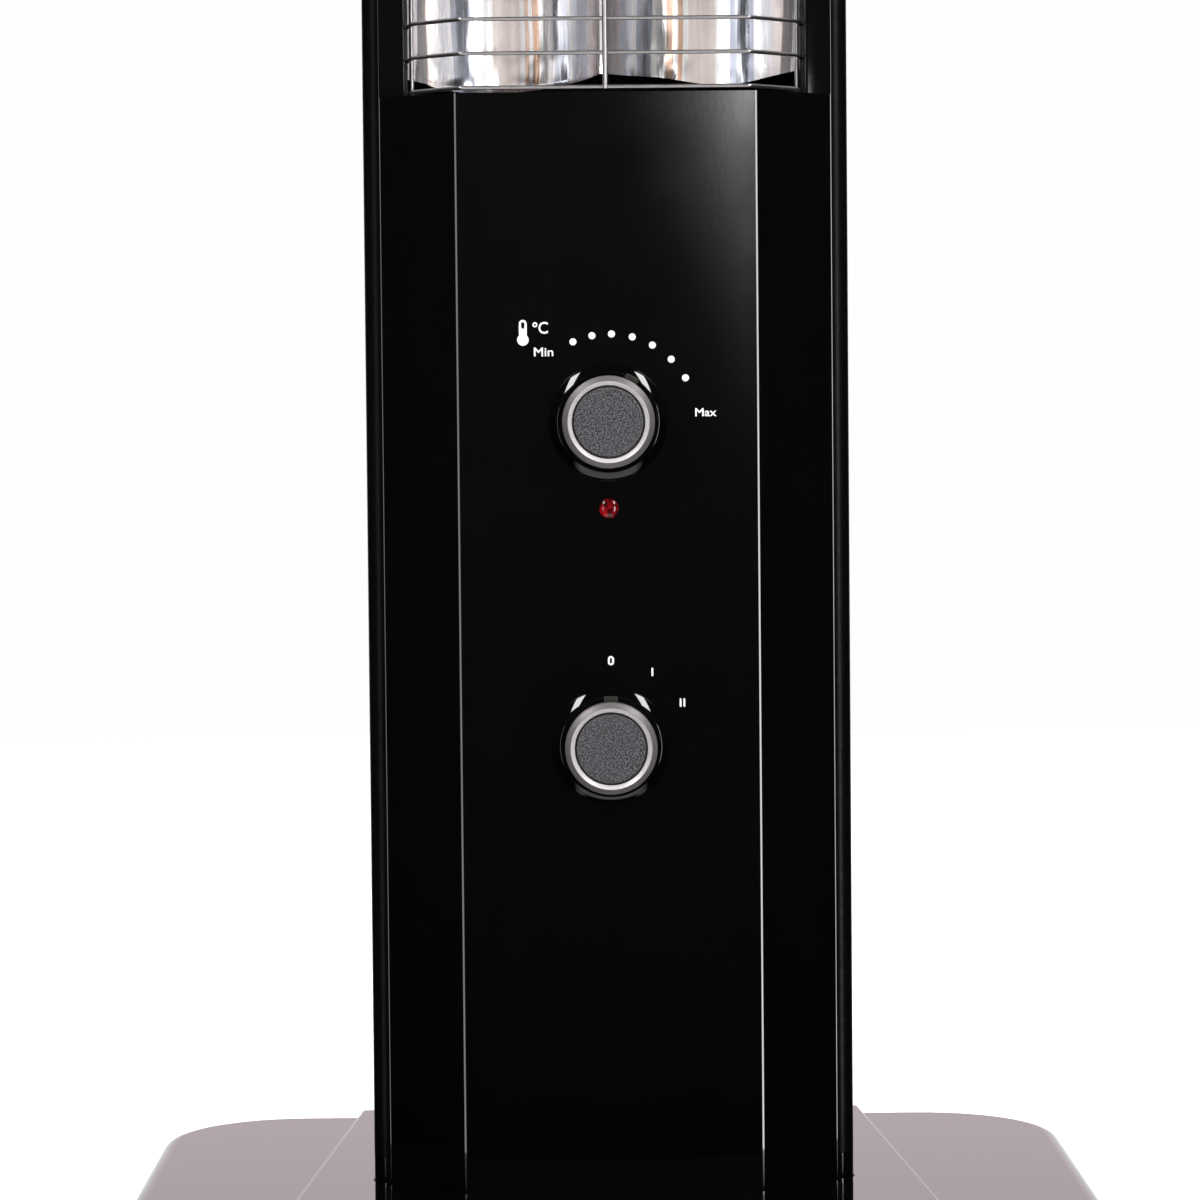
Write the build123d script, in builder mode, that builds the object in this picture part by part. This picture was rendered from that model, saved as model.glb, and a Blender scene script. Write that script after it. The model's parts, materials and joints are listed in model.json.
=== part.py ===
from build123d import *
import os
from math import atan2, cos

# Tower radiant heater: a gloss black column on a wide moulded base. The lower half of the column
# carries the controls, and the upper half is a reflector with two upright tubes behind a wire guard.
# Millimetres. +Z is up, the front faces -Y, and the heater stands on Z = 0 with its base centred there.

# Column, in plan
FACE_WIDTH = 120.0            # raised face of the front panel
COVER_WIDTH = 182.5           # front panel and window frame
SHELL_WIDTH = 196.5           # rear shell
COLUMN_DEPTH = 130.0          # raised face to the back
FACE_RISE = 22.0              # raised face ahead of the frame's flat rim
RIM_DEPTH = 4.0               # depth of the outer rim of panel and window frame
RIM_ROUND = 3.6               # outer front edges of the front panel
FRAME_ROUND = 2.4             # outer front edges of the window frame
FACE_ROUND = 1.4              # edges of the raised face
SHOULDER_ROUND = 6.5          # front corners of the rear shell
BACK_ROUND = 26.0             # back corners of the rear shell
LIP_WIDTH = 3.0               # how far the rear shell's front lip reaches in behind the covers
COVER_WALL = 2.5
SHELL_WALL = 2.0

# Column, in height
CAP_HEIGHT = 45.0
CAP_CORNER = 37.0             # corners of both caps, seen from the front
CAP_BROW = 20.0               # the same corners, seen from the side
CAP_WALL = 3.0
CAP_LEAD = 0.05               # the caps' roundings start this far outside their sides
PANEL_HEIGHT = 431.0
FRAME_HEIGHT = 415.0
TONGUE_HEIGHT = 9.0           # tongues of the caps inside the column
TONGUE_WALL = 2.0
TONGUE_FRONT_Y = -30.0        # front ends of the side tongues
CAP_SCREW_X = 50.0
CAP_BOSS_WIDTH = 10.0
CAP_BOSS_DEPTH = 11.0
FIT = 0.3                     # loose fit between mouldings

# Reflector window
WINDOW_WIDTH = 162.0
WINDOW_TOP_BAND = 12.0
WINDOW_SILL = 1.2
WINDOW_CORNER = 5.0
WINDOW_EDGE_ROUND = 1.0
RETURN_DEPTH = 43.0           # depth of the window's inner walls
RETURN_WALL = 2.0
FRAME_BOSS_RADIUS = 2.6
FRAME_BOSS_SINK = 0.2         # boss sunk into the window's inner wall
FRAME_SCREW_LOW = 30.0        # lowest frame screws above the window frame's lower edge
FRAME_SCREW_HIGH = 45.0       # highest frame screws below its upper edge

# Base
BASE_WIDTH = 400.0
BASE_DEPTH = 300.0
BASE_CORNER = 62.0
BASE_EDGE = 20.0              # rounding of the upper edge
BASE_INNER_BEVEL = 12.0       # bevel inside that edge
BASE_DRAFT = 4.0              # degrees
BASE_WALL = 3.0
BASE_TOP = 43.5               # top of the side wings above the floor
SADDLE_RISE = 3.5             # raised middle band above the wings
SADDLE_BACK_HALF = 114.0      # half width of the band at the base's back edge
SADDLE_FACE_HALF = 130.0      # the same in line with the raised face
RIM_GAP = 3.0                 # base rim above the floor
FOOT_HEIGHT = 5.0
FOOT_RADIUS = 14.0
FOOT_STEM_RADIUS = 4.0
FOOT_TAPER = 8.0              # degrees, wider towards the plate
FOOT_KNOB_LIP = 1.5
FOOT_KNOB_HEIGHT = 2.5
FOOT_SET = 50.0               # feet inside the base's sides
PLATE_WALL = 2.0
BOLT_ROOM = 4.0               # room for bolt heads between the bottom plate and the pocket
POCKET_FLOOR = 3.0
POCKET_WALL = 3.0
POCKET_FIT = 0.4              # column foot in its pocket
PLATE_INSET = 8.0             # bottom plate inside the base's outline
BASE_BOSS_RADIUS = 5.0
BASE_SCREW_SET_X = 75.0       # base screws inside the base's sides
BASE_SCREW_SET_Y = 30.0       # base screws inside the base's front and back

# Column bracket and its bolts
BRACKET_WIDTH = 130.0
BRACKET_DEPTH = 80.0
BRACKET_WALL = 3.0
BRACKET_FLANGE = 22.0
BRACKET_BEND = 4.5
BOLT_SPACING_X = 100.0
BOLT_SPACING_Y = 50.0
BOLT_RADIUS = 3.0
BOLT_HEAD_RADIUS = 5.0
BOLT_HEAD_HEIGHT = 3.7
BOLT_END = 7.0                # thread past the bracket
BOLT_FIT = 0.4
BOLT_ACCESS = 2.0             # room round a bolt head in the bottom plate
NUT_HEIGHT = 5.0
NUT_FIT = 0.05

# Knobs
THERMOSTAT_DROP = 131.4       # thermostat below the top of the front panel
POWER_DROP = 261.2            # power switch below the top of the front panel
BEZEL_RADIUS = 23.7
BEZEL_BORE_RADIUS = 19.4
BEZEL_FOOT = 0.3              # upright foot of the swelling collar
BEZEL_HEIGHT = 2.6
BEZEL_SWELL = 9.0             # radius of the swelling flank in section
BEZEL_LIP_ROUND = 0.8         # rounding from the flank into the bore
KNOB_RADIUS = 17.8
KNOB_WALL = 1.6
KNOB_GAP = 0.8                # knob above the panel
KNOB_HEIGHT = 13.4            # top of the knob's moulding above the panel
HUB_SET_BACK = 0.4            # hub behind the knob's rim
HUB_FIT = 0.05
RING_RADIUS = 18.4
RING_INNER_RADIUS = 14.6
RING_BACK = 8.6               # back of the ring above the panel
RING_FRONT = 15.2             # front of the ring above the panel
RING_CREST_RADIUS = 16.3
RING_SHOULDER = 13.2          # top of the ring's upright side above the panel
RING_BEVEL = 1.2              # drop of the inner bevel
INSERT_RADIUS = 13.8
INSERT_WALL = 1.0
POINTER_WIDTH = 5.6
POINTER_REACH = 2.2
POINTER_DEPTH = 2.4
THERMOSTAT_REST = 29.0        # degrees clockwise of upright, seen from the front
POWER_REST = 0.0              # degrees clockwise of upright
HUB_RADIUS = 5.5
SPINDLE_RADIUS = 3.0
SPINDLE_FLAT = 2.0            # flat of the D shaped end, from the axis
SPINDLE_FIT = 0.08
SPINDLE_ROOM = 1.5            # room round a spindle in the panel
SPINDLE_DEPTH = 9.0           # spindle inside its control
HUB_DEPTH = 9.0               # spindle inside the knob

# Lamp
LAMP_DROP = 166.0             # lamp below the top of the front panel
LAMP_RADIUS = 4.0
LAMP_DOME = 2.0
LAMP_CROWN = 1.5              # height where the lens turns from side to crown
LAMP_CROWN_RADIUS = 2.6
LAMP_FLANGE_RADIUS = 6.0
LAMP_FLANGE_WALL = 1.2
LAMP_FIT = 0.1
LAMP_BODY_RADIUS = 4.8
LAMP_BODY_LENGTH = 16.0
LAMP_BLADE_SPACING = 4.8
LAMP_BLADE_WIDTH = 3.2

# Controls behind the panel
BRIDGE_WIDTH = 96.0
BRIDGE_MARGIN = 30.0          # bridge past the two knob axes
BRIDGE_WALL = 1.5
BRIDGE_STAND_OFF = 8.0        # bosses between panel and bridge
BRIDGE_BOSS_RADIUS = 4.0
BRIDGE_BOSS_INSET = 6.0
THERMOSTAT_WIDTH = 36.0
THERMOSTAT_HEIGHT = 42.0
THERMOSTAT_DEPTH = 18.0
SWITCH_WIDTH = 34.0
SWITCH_HEIGHT = 34.0
SWITCH_DEPTH = 22.0
BUSH_RADIUS = 4.5
BUSH_FIT = 0.2
BUSH_REACH = 5.0              # bush ahead of the bridge
CONTROL_SCREW_SPACING = 28.0
BLADE_WIDTH = 6.3
BLADE_WALL = 0.8
BLADE_LENGTH = 9.0
BLADE_SPACING = 10.0
BLADE_ROW_SPACING = 14.0

# Screws, with the posts, bosses and holes that belong to them
ROUND_SIDES = 12              # sides of heads, holes, posts and bosses
SHANK_SIDES = 6               # sides of screw shanks
SCREW_RADIUS = 1.6
SCREW_HEAD_RADIUS = 3.2
SCREW_HEAD_HEIGHT = 2.0
SCREW_PILOT_RADIUS = 1.65
SCREW_HOLE_RADIUS = 1.9
SCREW_BITE = 8.0              # thread in a boss
PILOT_ROOM = 1.0              # hole past the screw's end
PILOT_FLOOR = 1.0             # material left under a bridge boss's hole
SCREW_END = 3.0               # thread past a sheet

# Guard
WIRE_RADIUS = 0.8
WIRE_SIDES = 6                # sides of a guard wire's section
WIRE_PITCH = 13.6
WIRE_TOP_ROOM = 4.0           # least room between the highest wire's axis and the window's top
WIRE_LIFT = 0.8               # lowest wire's axis above the window's sill
WIRE_FLAT_HALF = 57.5         # half width of the flat front run
WIRE_SLANT_HALF = 77.4        # half width where the slant ends
WIRE_END_HALF = 80.2          # half width at the ends
WIRE_FRONT_SET = 1.0          # flat run behind the raised face
WIRE_SLANT_DEPTH = 19.0
WIRE_HOOK_DEPTH = 17.0
UPRIGHT_RADIUS = 1.1
SIDE_ROD_RADIUS = 0.9

# Hot box
REFLECTOR_WALL = 0.8
REFLECTOR_LIFT = 12.0         # lower edge above the window's sill
REFLECTOR_TOP_GAP = 4.0       # upper edge below the window's top
REFLECTOR_SIDE_SET = 1.2      # trough edge inside the window's inner wall
TROUGH_DEPTH = 38.0
RIDGE_HALF = 1.5
RIDGE_DEPTH = 7.0
SHIELD_WALL = 1.0
SHIELD_DEPTH = 50.0
SHIELD_HALF = 91.0
SHIELD_ROUND = 14.0
FLANGE_WIDTH = 8.0
TUBE_Y = 15.0
TUBE_RADIUS = 5.0
TUBE_WALL = 1.0
TUBE_LENGTH = 306.0
TUBE_LIFT = 10.1              # middle of a tube above the middle of the window
STRIP_WIDTH = 5.0
STRIP_WALL = 0.4
CERAMIC_WIDTH = 15.0
CERAMIC_DEPTH = 13.0
CERAMIC_HEIGHT = 20.0
CERAMIC_GRIP = 12.0           # tube inside its ceramic end
CERAMIC_BORE_FIT = 0.15
CLIP_WIDTH = 8.0
CLIP_WALL = 1.2
CLIP_HEIGHT = 12.0
CLIP_SEAT = 0.35            # clip foot ahead of the trough's lowest line

# Rear shell details
LOUVRE_WIDTH = 56.0
LOUVRE_HEIGHT = 4.0
LOUVRE_PITCH = 16.0
LOUVRE_COLUMN_PITCH = 72.0
UPPER_LOUVRE_ROWS = 16
LOWER_LOUVRE_ROWS = 6
UPPER_LOUVRE_RISE = 90.0      # lowest upper louvre above the window's sill
LOWER_LOUVRE_RISE = 110.0     # lowest lower louvre above the bottom seam
POST_RADIUS = 5.0
POST_X = 66.0
POST_LOW = 46.0               # lowest posts above the bottom seam
POST_HIGH = 45.0              # highest posts below the top of the front panel
POST_MEET_Y = 10.0            # where the front panel's posts meet the rear shell's
POST_COUNTERBORE = 3.8
POST_SEAT = 4.0               # material under the screw head
SHIELD_POST_X = 30.0
SHIELD_POST_RADIUS = 4.5
SHIELD_POST_MARGIN = 24.0

# Inlet, terminals and safety parts
GLAND_RISE = 34.0             # gland above the bottom seam
GLAND_BORE_RADIUS = 3.6
GLAND_BODY_RADIUS = 8.0
GLAND_FLANGE_RADIUS = 11.0
GLAND_FLANGE_WALL = 2.5
GLAND_INNER_RADIUS = 9.4
GLAND_LENGTH = 14.0
GLAND_FIT = 0.2
TERMINAL_WIDTH = 46.0
TERMINAL_DEPTH = 18.0
TERMINAL_HEIGHT = 20.0
TERMINAL_RISE = 72.0
TERMINAL_WELLS = 3
TERMINAL_WELL_WIDTH = 9.0
TERMINAL_WELL_DEPTH = 10.0
CUTOUT_RADIUS = 8.0
CUTOUT_HEIGHT = 9.0
CUTOUT_EAR_WIDTH = 26.0
CUTOUT_EAR_HEIGHT = 8.0
CUTOUT_EAR_WALL = 1.0
CUTOUT_RISE = 46.0            # cut-out above the window's sill
TILT_SET = 52.0               # tilt switch inside the base's side
TILT_WIDTH = 30.0
TILT_DEPTH = 18.0
TILT_HEIGHT = 24.0
PLUNGER_RADIUS = 3.5
PLUNGER_FIT = 0.08
PLUNGER_LENGTH = 22.0
PLUNGER_ROOM = 1.0
PLUNGER_CHAMFER = 0.8

# Derived places
FOOT_SPACING_X = BASE_WIDTH - 2 * FOOT_SET
FOOT_SPACING_Y = BASE_DEPTH - 2 * FOOT_SET
BASE_SCREW_SPACING_X = BASE_WIDTH - 2 * BASE_SCREW_SET_X
BASE_SCREW_SPACING_Y = BASE_DEPTH - 2 * BASE_SCREW_SET_Y
TILT_X = BASE_WIDTH / 2 - TILT_SET
FACE_X = FACE_WIDTH / 2
COVER_X = COVER_WIDTH / 2
SHELL_X = SHELL_WIDTH / 2
LIP_X = COVER_X - LIP_WIDTH
FACE_Y = -COLUMN_DEPTH / 2
BACK_Y = COLUMN_DEPTH / 2
RIM_Y = FACE_Y + FACE_RISE
SEAM_Y = RIM_Y + RIM_DEPTH
PLATE_Z = FOOT_HEIGHT
POCKET_Z = PLATE_Z + PLATE_WALL + BOLT_ROOM
COLUMN_Z = POCKET_Z + POCKET_FLOOR
BOTTOM_SEAM_Z = COLUMN_Z + CAP_HEIGHT
SILL_Z = BOTTOM_SEAM_Z + PANEL_HEIGHT
TOP_SEAM_Z = SILL_Z + FRAME_HEIGHT
COLUMN_TOP_Z = TOP_SEAM_Z + CAP_HEIGHT
WINDOW_X = WINDOW_WIDTH / 2
WINDOW_BOTTOM_Z = SILL_Z + WINDOW_SILL
WINDOW_TOP_Z = TOP_SEAM_Z - WINDOW_TOP_BAND
RETURN_Y = RIM_Y + RETURN_DEPTH
SADDLE_TOP = BASE_TOP + SADDLE_RISE
THERMOSTAT_Z = SILL_Z - THERMOSTAT_DROP
POWER_Z = SILL_Z - POWER_DROP
LAMP_Z = SILL_Z - LAMP_DROP
PANEL_BACK_Y = FACE_Y + COVER_WALL
BRIDGE_Y = PANEL_BACK_Y + BRIDGE_STAND_OFF
BRIDGE_BACK_Y = BRIDGE_Y + BRIDGE_WALL
SHELL_INSIDE_Y = BACK_Y - SHELL_WALL
REFLECTOR_Y = RETURN_Y
SHIELD_Y = REFLECTOR_Y + REFLECTOR_WALL
SHIELD_BACK_Y = RETURN_Y + SHIELD_DEPTH
FRAME_SCREW_X = WINDOW_X + RETURN_WALL + FRAME_BOSS_RADIUS - FRAME_BOSS_SINK
BRIDGE_LOW_Z = POWER_Z - BRIDGE_MARGIN
BRIDGE_HIGH_Z = THERMOSTAT_Z + BRIDGE_MARGIN
GLAND_Z = BOTTOM_SEAM_Z + GLAND_RISE
UPPER_LOUVRE_Z = SILL_Z + UPPER_LOUVRE_RISE + LOUVRE_PITCH * (UPPER_LOUVRE_ROWS - 1) / 2
LOWER_LOUVRE_Z = BOTTOM_SEAM_Z + LOWER_LOUVRE_RISE + LOUVRE_PITCH * (LOWER_LOUVRE_ROWS - 1) / 2
BRACKET_Z = COLUMN_Z + CAP_WALL
WIRE_LOW_Z = WINDOW_BOTTOM_Z + WIRE_LIFT
WIRE_COUNT = 1 + int((WINDOW_TOP_Z - WIRE_TOP_ROOM - WIRE_LOW_Z) / WIRE_PITCH)
SIDE_ROD_Y = FACE_Y + WIRE_FRONT_SET + WIRE_SLANT_DEPTH + WIRE_HOOK_DEPTH - SIDE_ROD_RADIUS
HOOK_SLOPE = (WIRE_END_HALF - WIRE_SLANT_HALF) / WIRE_HOOK_DEPTH
ROD_STEP = (WIRE_RADIUS + SIDE_ROD_RADIUS) / cos(atan2(HOOK_SLOPE, 1))
SIDE_ROD_X = WIRE_END_HALF - SIDE_ROD_RADIUS * HOOK_SLOPE - ROD_STEP
REFLECTOR_X = WINDOW_X - REFLECTOR_SIDE_SET
REFLECTOR_LOW_Z = WINDOW_BOTTOM_Z + REFLECTOR_LIFT
REFLECTOR_HIGH_Z = WINDOW_TOP_Z - REFLECTOR_TOP_GAP
FLANGE_X = SHIELD_HALF - SHIELD_WALL
TUBE_X = (REFLECTOR_X + RIDGE_HALF) / 2
TUBE_LOW_Z = (WINDOW_BOTTOM_Z + WINDOW_TOP_Z - TUBE_LENGTH) / 2 + TUBE_LIFT
TUBE_HIGH_Z = TUBE_LOW_Z + TUBE_LENGTH
CUTOUT_Z = WINDOW_BOTTOM_Z + CUTOUT_RISE
TERMINAL_Z = BOTTOM_SEAM_Z + TERMINAL_RISE


def front_plane(y):
    """Upright plane at depth y whose normal faces the front; its local Y is height."""
    return Plane.XZ.offset(-y)


def save(part, name):
    """Labels a finished piece and writes it."""
    part.label = name
    export_step(part, f"parts/{name}.step")


def cover_line():
    """Outer line of the front panel in plan: rim, slope, raised face, slope, rim."""
    FilletPolyline(
        (-COVER_X, SEAM_Y),
        (-COVER_X, RIM_Y),
        (-FACE_X, FACE_Y),
        (FACE_X, FACE_Y),
        (COVER_X, RIM_Y),
        (COVER_X, SEAM_Y),
        radius=[RIM_ROUND, FACE_ROUND, FACE_ROUND, RIM_ROUND],
    )


def shell_line():
    """Outer line of the rear shell in plan, from lip to lip round the back."""
    FilletPolyline(
        (-LIP_X, SEAM_Y),
        (-SHELL_X, SEAM_Y),
        (-SHELL_X, BACK_Y),
        (SHELL_X, BACK_Y),
        (SHELL_X, SEAM_Y),
        (LIP_X, SEAM_Y),
        radius=[SHOULDER_ROUND, BACK_ROUND, BACK_ROUND, SHOULDER_ROUND],
    )


# Closed plan of the whole column: front covers and rear shell together
with BuildSketch() as column_plan:
    with BuildLine():
        cover_line()
        Line((-COVER_X, SEAM_Y), (COVER_X, SEAM_Y))
    make_face()
    with BuildLine():
        shell_line()
        Line((-LIP_X, SEAM_Y), (LIP_X, SEAM_Y))
    make_face()


def three_heights(low_z, high_z):
    """Two heights and the one midway between them."""
    return (low_z, (low_z + high_z) / 2, high_z)


def post_places():
    """Places of the screw posts between the front panel and the rear shell."""
    heights = three_heights(BOTTOM_SEAM_Z + POST_LOW, SILL_Z - POST_HIGH)
    return [(side * POST_X, z) for side in (-1, 1) for z in heights]


def frame_screw_places():
    """Places of the screws that hold reflector and heat shield to the window frame."""
    heights = three_heights(SILL_Z + FRAME_SCREW_LOW, TOP_SEAM_Z - FRAME_SCREW_HIGH)
    return [(side * FRAME_SCREW_X, z) for side in (-1, 1) for z in heights]


def shield_post_places():
    """Places of the posts that carry the heat shield on the rear shell."""
    heights = (WINDOW_BOTTOM_Z + SHIELD_POST_MARGIN, WINDOW_TOP_Z - SHIELD_POST_MARGIN)
    return [(side * SHIELD_POST_X, z) for side in (-1, 1) for z in heights]


def bridge_boss_places():
    """Places of the bosses and screws of the control bridge."""
    x = BRIDGE_WIDTH / 2 - BRIDGE_BOSS_INSET
    heights = (BRIDGE_LOW_Z + BRIDGE_BOSS_INSET, BRIDGE_HIGH_Z - BRIDGE_BOSS_INSET)
    return [(side * x, z) for side in (-1, 1) for z in heights]


def control_screw_places():
    """Places of the screws of the thermostat and the power switch."""
    x = CONTROL_SCREW_SPACING / 2
    return [(side * x, z) for side in (-1, 1) for z in (THERMOSTAT_Z, POWER_Z)]


def cap_screw_places(seam_z, end_z):
    """Places of the two back screws of a cap, in its tongue inside the rear shell."""
    rise = -TONGUE_HEIGHT / 2 if end_z > seam_z else TONGUE_HEIGHT / 2
    return [(side * CAP_SCREW_X, seam_z + rise) for side in (-1, 1)]


def screws(places, seat_y, length, into):
    """Pan head screws whose heads sit on seat_y; into is +1 when the shank points to the back."""
    head_y = seat_y - into * SCREW_HEAD_HEIGHT
    with BuildPart() as group:
        with BuildSketch(front_plane(seat_y)):
            with Locations(*places):
                RegularPolygon(SCREW_HEAD_RADIUS, ROUND_SIDES)
        extrude(amount=into * SCREW_HEAD_HEIGHT)
        with BuildSketch(front_plane(head_y)):
            with Locations(*places):
                RegularPolygon(SCREW_RADIUS, SHANK_SIDES)
        extrude(amount=-into * (SCREW_HEAD_HEIGHT + length))
    return group.part


os.makedirs("parts", exist_ok=True)

# Front panel: the raised face with its two slopes, closed above, with posts and bosses inside
with BuildPart() as front_panel:
    with BuildSketch(front_plane(POST_MEET_Y)):
        with Locations(*post_places()):
            RegularPolygon(POST_RADIUS, ROUND_SIDES)
    extrude(amount=POST_MEET_Y - FACE_Y)
    with BuildSketch(Plane.XY.offset(BOTTOM_SEAM_Z)):
        with BuildLine():
            cover_line()
            Polyline((-COVER_X, SEAM_Y), (-COVER_X, BACK_Y), (COVER_X, BACK_Y), (COVER_X, SEAM_Y))
        make_face()
    extrude(amount=PANEL_HEIGHT, mode=Mode.INTERSECT)
    with BuildSketch(Plane.XY.offset(BOTTOM_SEAM_Z)):
        with BuildLine():
            cover_line()
            offset(amount=COVER_WALL, side=Side.LEFT)
        make_face()
    extrude(amount=PANEL_HEIGHT)
    with BuildSketch(Plane.XY.offset(SILL_Z - COVER_WALL)):
        with BuildLine():
            cover_line()
            Line((-COVER_X, SEAM_Y), (COVER_X, SEAM_Y))
        make_face()
    extrude(amount=COVER_WALL)
    with BuildSketch(front_plane(BRIDGE_Y)):
        with Locations(*bridge_boss_places()):
            RegularPolygon(BRIDGE_BOSS_RADIUS, ROUND_SIDES)
    extrude(amount=BRIDGE_STAND_OFF)
    with BuildSketch(front_plane(BRIDGE_Y)):
        with Locations(*bridge_boss_places()):
            RegularPolygon(SCREW_PILOT_RADIUS, ROUND_SIDES)
    extrude(amount=BRIDGE_STAND_OFF - PILOT_FLOOR, mode=Mode.SUBTRACT)
    with BuildSketch(front_plane(POST_MEET_Y)):
        with Locations(*post_places()):
            RegularPolygon(SCREW_PILOT_RADIUS, ROUND_SIDES)
    extrude(amount=SCREW_BITE + PILOT_ROOM, mode=Mode.SUBTRACT)
    with BuildSketch(front_plane(BRIDGE_Y)):
        with Locations((0, THERMOSTAT_Z), (0, POWER_Z)):
            Circle(SPINDLE_RADIUS + SPINDLE_ROOM)
        with Locations((0, LAMP_Z)):
            Circle(LAMP_RADIUS + LAMP_FIT)
    extrude(amount=BRIDGE_STAND_OFF + COVER_WALL, mode=Mode.SUBTRACT)
save(front_panel.part, "front_panel")

# Window frame: flat rim round the reflector's window, with deep inner walls
with BuildPart() as window_frame:
    with BuildSketch(front_plane(RIM_Y)):
        with Locations((0, SILL_Z + FRAME_HEIGHT / 2)):
            Rectangle(COVER_WIDTH, FRAME_HEIGHT)
    extrude(amount=-(SEAM_Y - RIM_Y))
    with BuildSketch(front_plane(RIM_Y + COVER_WALL)):
        with Locations((0, SILL_Z + FRAME_HEIGHT / 2)):
            Rectangle(COVER_WIDTH - 2 * COVER_WALL, FRAME_HEIGHT - 2 * COVER_WALL)
    extrude(amount=-(SEAM_Y - RIM_Y), mode=Mode.SUBTRACT)
    with BuildSketch(front_plane(RIM_Y)) as returns:
        with Locations((0, (SILL_Z + WINDOW_TOP_Z + RETURN_WALL) / 2)):
            Rectangle(WINDOW_WIDTH + 2 * RETURN_WALL, WINDOW_TOP_Z + RETURN_WALL - SILL_Z)
        fillet(returns.vertices().group_by(Axis.Y)[-1], radius=WINDOW_CORNER + RETURN_WALL)
    extrude(amount=-RETURN_DEPTH)
    with BuildSketch(front_plane(RETURN_Y)):
        with Locations(*frame_screw_places()):
            RegularPolygon(FRAME_BOSS_RADIUS, ROUND_SIDES)
    extrude(amount=RETURN_DEPTH - COVER_WALL / 2)
    with BuildSketch(front_plane(RIM_Y)) as window:
        with Locations((0, (WINDOW_BOTTOM_Z + WINDOW_TOP_Z) / 2)):
            Rectangle(WINDOW_WIDTH, WINDOW_TOP_Z - WINDOW_BOTTOM_Z)
        fillet(window.vertices().group_by(Axis.Y)[-1], radius=WINDOW_CORNER)
    extrude(amount=-RETURN_DEPTH, mode=Mode.SUBTRACT)
    front_face = window_frame.faces().sort_by(Axis.Y)[0]
    fillet(front_face.inner_wires()[0].edges(), radius=WINDOW_EDGE_ROUND)
    rim_edges = window_frame.edges().filter_by(Axis.Z).group_by(Axis.Y)[0].sort_by(Axis.X)
    fillet([rim_edges[0], rim_edges[-1]], radius=FRAME_ROUND)
    with BuildSketch(front_plane(RETURN_Y)):
        with Locations(*frame_screw_places()):
            RegularPolygon(SCREW_PILOT_RADIUS, ROUND_SIDES)
    extrude(amount=SCREW_BITE + PILOT_ROOM, mode=Mode.SUBTRACT)
save(window_frame.part, "window_frame")

# Rear shell: a rounded channel with front lips, louvres, screw posts and the inlet's hole
with BuildPart() as rear_shell:
    with BuildSketch(Plane.XY.offset(BOTTOM_SEAM_Z)):
        with BuildLine():
            shell_line()
            offset(amount=SHELL_WALL, side=Side.RIGHT)
        make_face()
    extrude(amount=TOP_SEAM_Z - BOTTOM_SEAM_Z)
    with BuildSketch(front_plane(SHELL_INSIDE_Y)):
        with Locations(*post_places()):
            RegularPolygon(POST_RADIUS, ROUND_SIDES)
    extrude(amount=SHELL_INSIDE_Y - POST_MEET_Y)
    with BuildSketch(front_plane(SHELL_INSIDE_Y)):
        with Locations(*shield_post_places()):
            RegularPolygon(SHIELD_POST_RADIUS, ROUND_SIDES)
    extrude(amount=SHELL_INSIDE_Y - SHIELD_BACK_Y)
    with BuildSketch(front_plane(BACK_Y)):
        with Locations(*post_places()):
            RegularPolygon(POST_COUNTERBORE, ROUND_SIDES)
    extrude(amount=BACK_Y - POST_MEET_Y - POST_SEAT, mode=Mode.SUBTRACT)
    with BuildSketch(front_plane(BACK_Y)):
        with Locations(*post_places(), *shield_post_places()):
            RegularPolygon(SCREW_HOLE_RADIUS, ROUND_SIDES)
        with Locations(*cap_screw_places(BOTTOM_SEAM_Z, COLUMN_Z)):
            RegularPolygon(SCREW_HOLE_RADIUS, ROUND_SIDES)
        with Locations(*cap_screw_places(TOP_SEAM_Z, COLUMN_TOP_Z)):
            RegularPolygon(SCREW_HOLE_RADIUS, ROUND_SIDES)
        with Locations((0, GLAND_Z)):
            Circle(GLAND_BODY_RADIUS + GLAND_FIT)
        with Locations((0, UPPER_LOUVRE_Z)):
            with GridLocations(LOUVRE_COLUMN_PITCH, LOUVRE_PITCH, 2, UPPER_LOUVRE_ROWS):
                Rectangle(LOUVRE_WIDTH, LOUVRE_HEIGHT)
        with Locations((0, LOWER_LOUVRE_Z)):
            with GridLocations(LOUVRE_COLUMN_PITCH, LOUVRE_PITCH, 2, LOWER_LOUVRE_ROWS):
                Rectangle(LOUVRE_WIDTH, LOUVRE_HEIGHT)
    extrude(amount=BACK_Y - POST_MEET_Y, mode=Mode.SUBTRACT)
save(rear_shell.part, "rear_shell")


def cap_block(inset, seam_z, end_z):
    """Outer form of a cap, drawn in by inset on every side but the seam."""
    up = 1 if end_z > seam_z else -1
    height = abs(end_z - seam_z) - inset
    corner = CAP_CORNER - inset
    brow = CAP_BROW - inset
    with BuildPart() as block:
        with BuildSketch(Plane.XY.offset(seam_z)):
            add(column_plan.sketch)
            if inset:
                offset(amount=-inset)
        extrude(amount=up * height)
        with BuildSketch(front_plane(0)):
            with Locations((0, seam_z)):
                RectangleRounded(SHELL_WIDTH + 2 * CAP_LEAD - 2 * inset, 2 * height, corner)
        extrude(amount=COLUMN_DEPTH, both=True, mode=Mode.INTERSECT)
        with BuildSketch(Plane.YZ):
            with Locations((0, seam_z)):
                RectangleRounded(COLUMN_DEPTH + 2 * CAP_LEAD - 2 * inset, 2 * height, brow)
        extrude(amount=SHELL_WIDTH, both=True, mode=Mode.INTERSECT)
    return block.part


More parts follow.
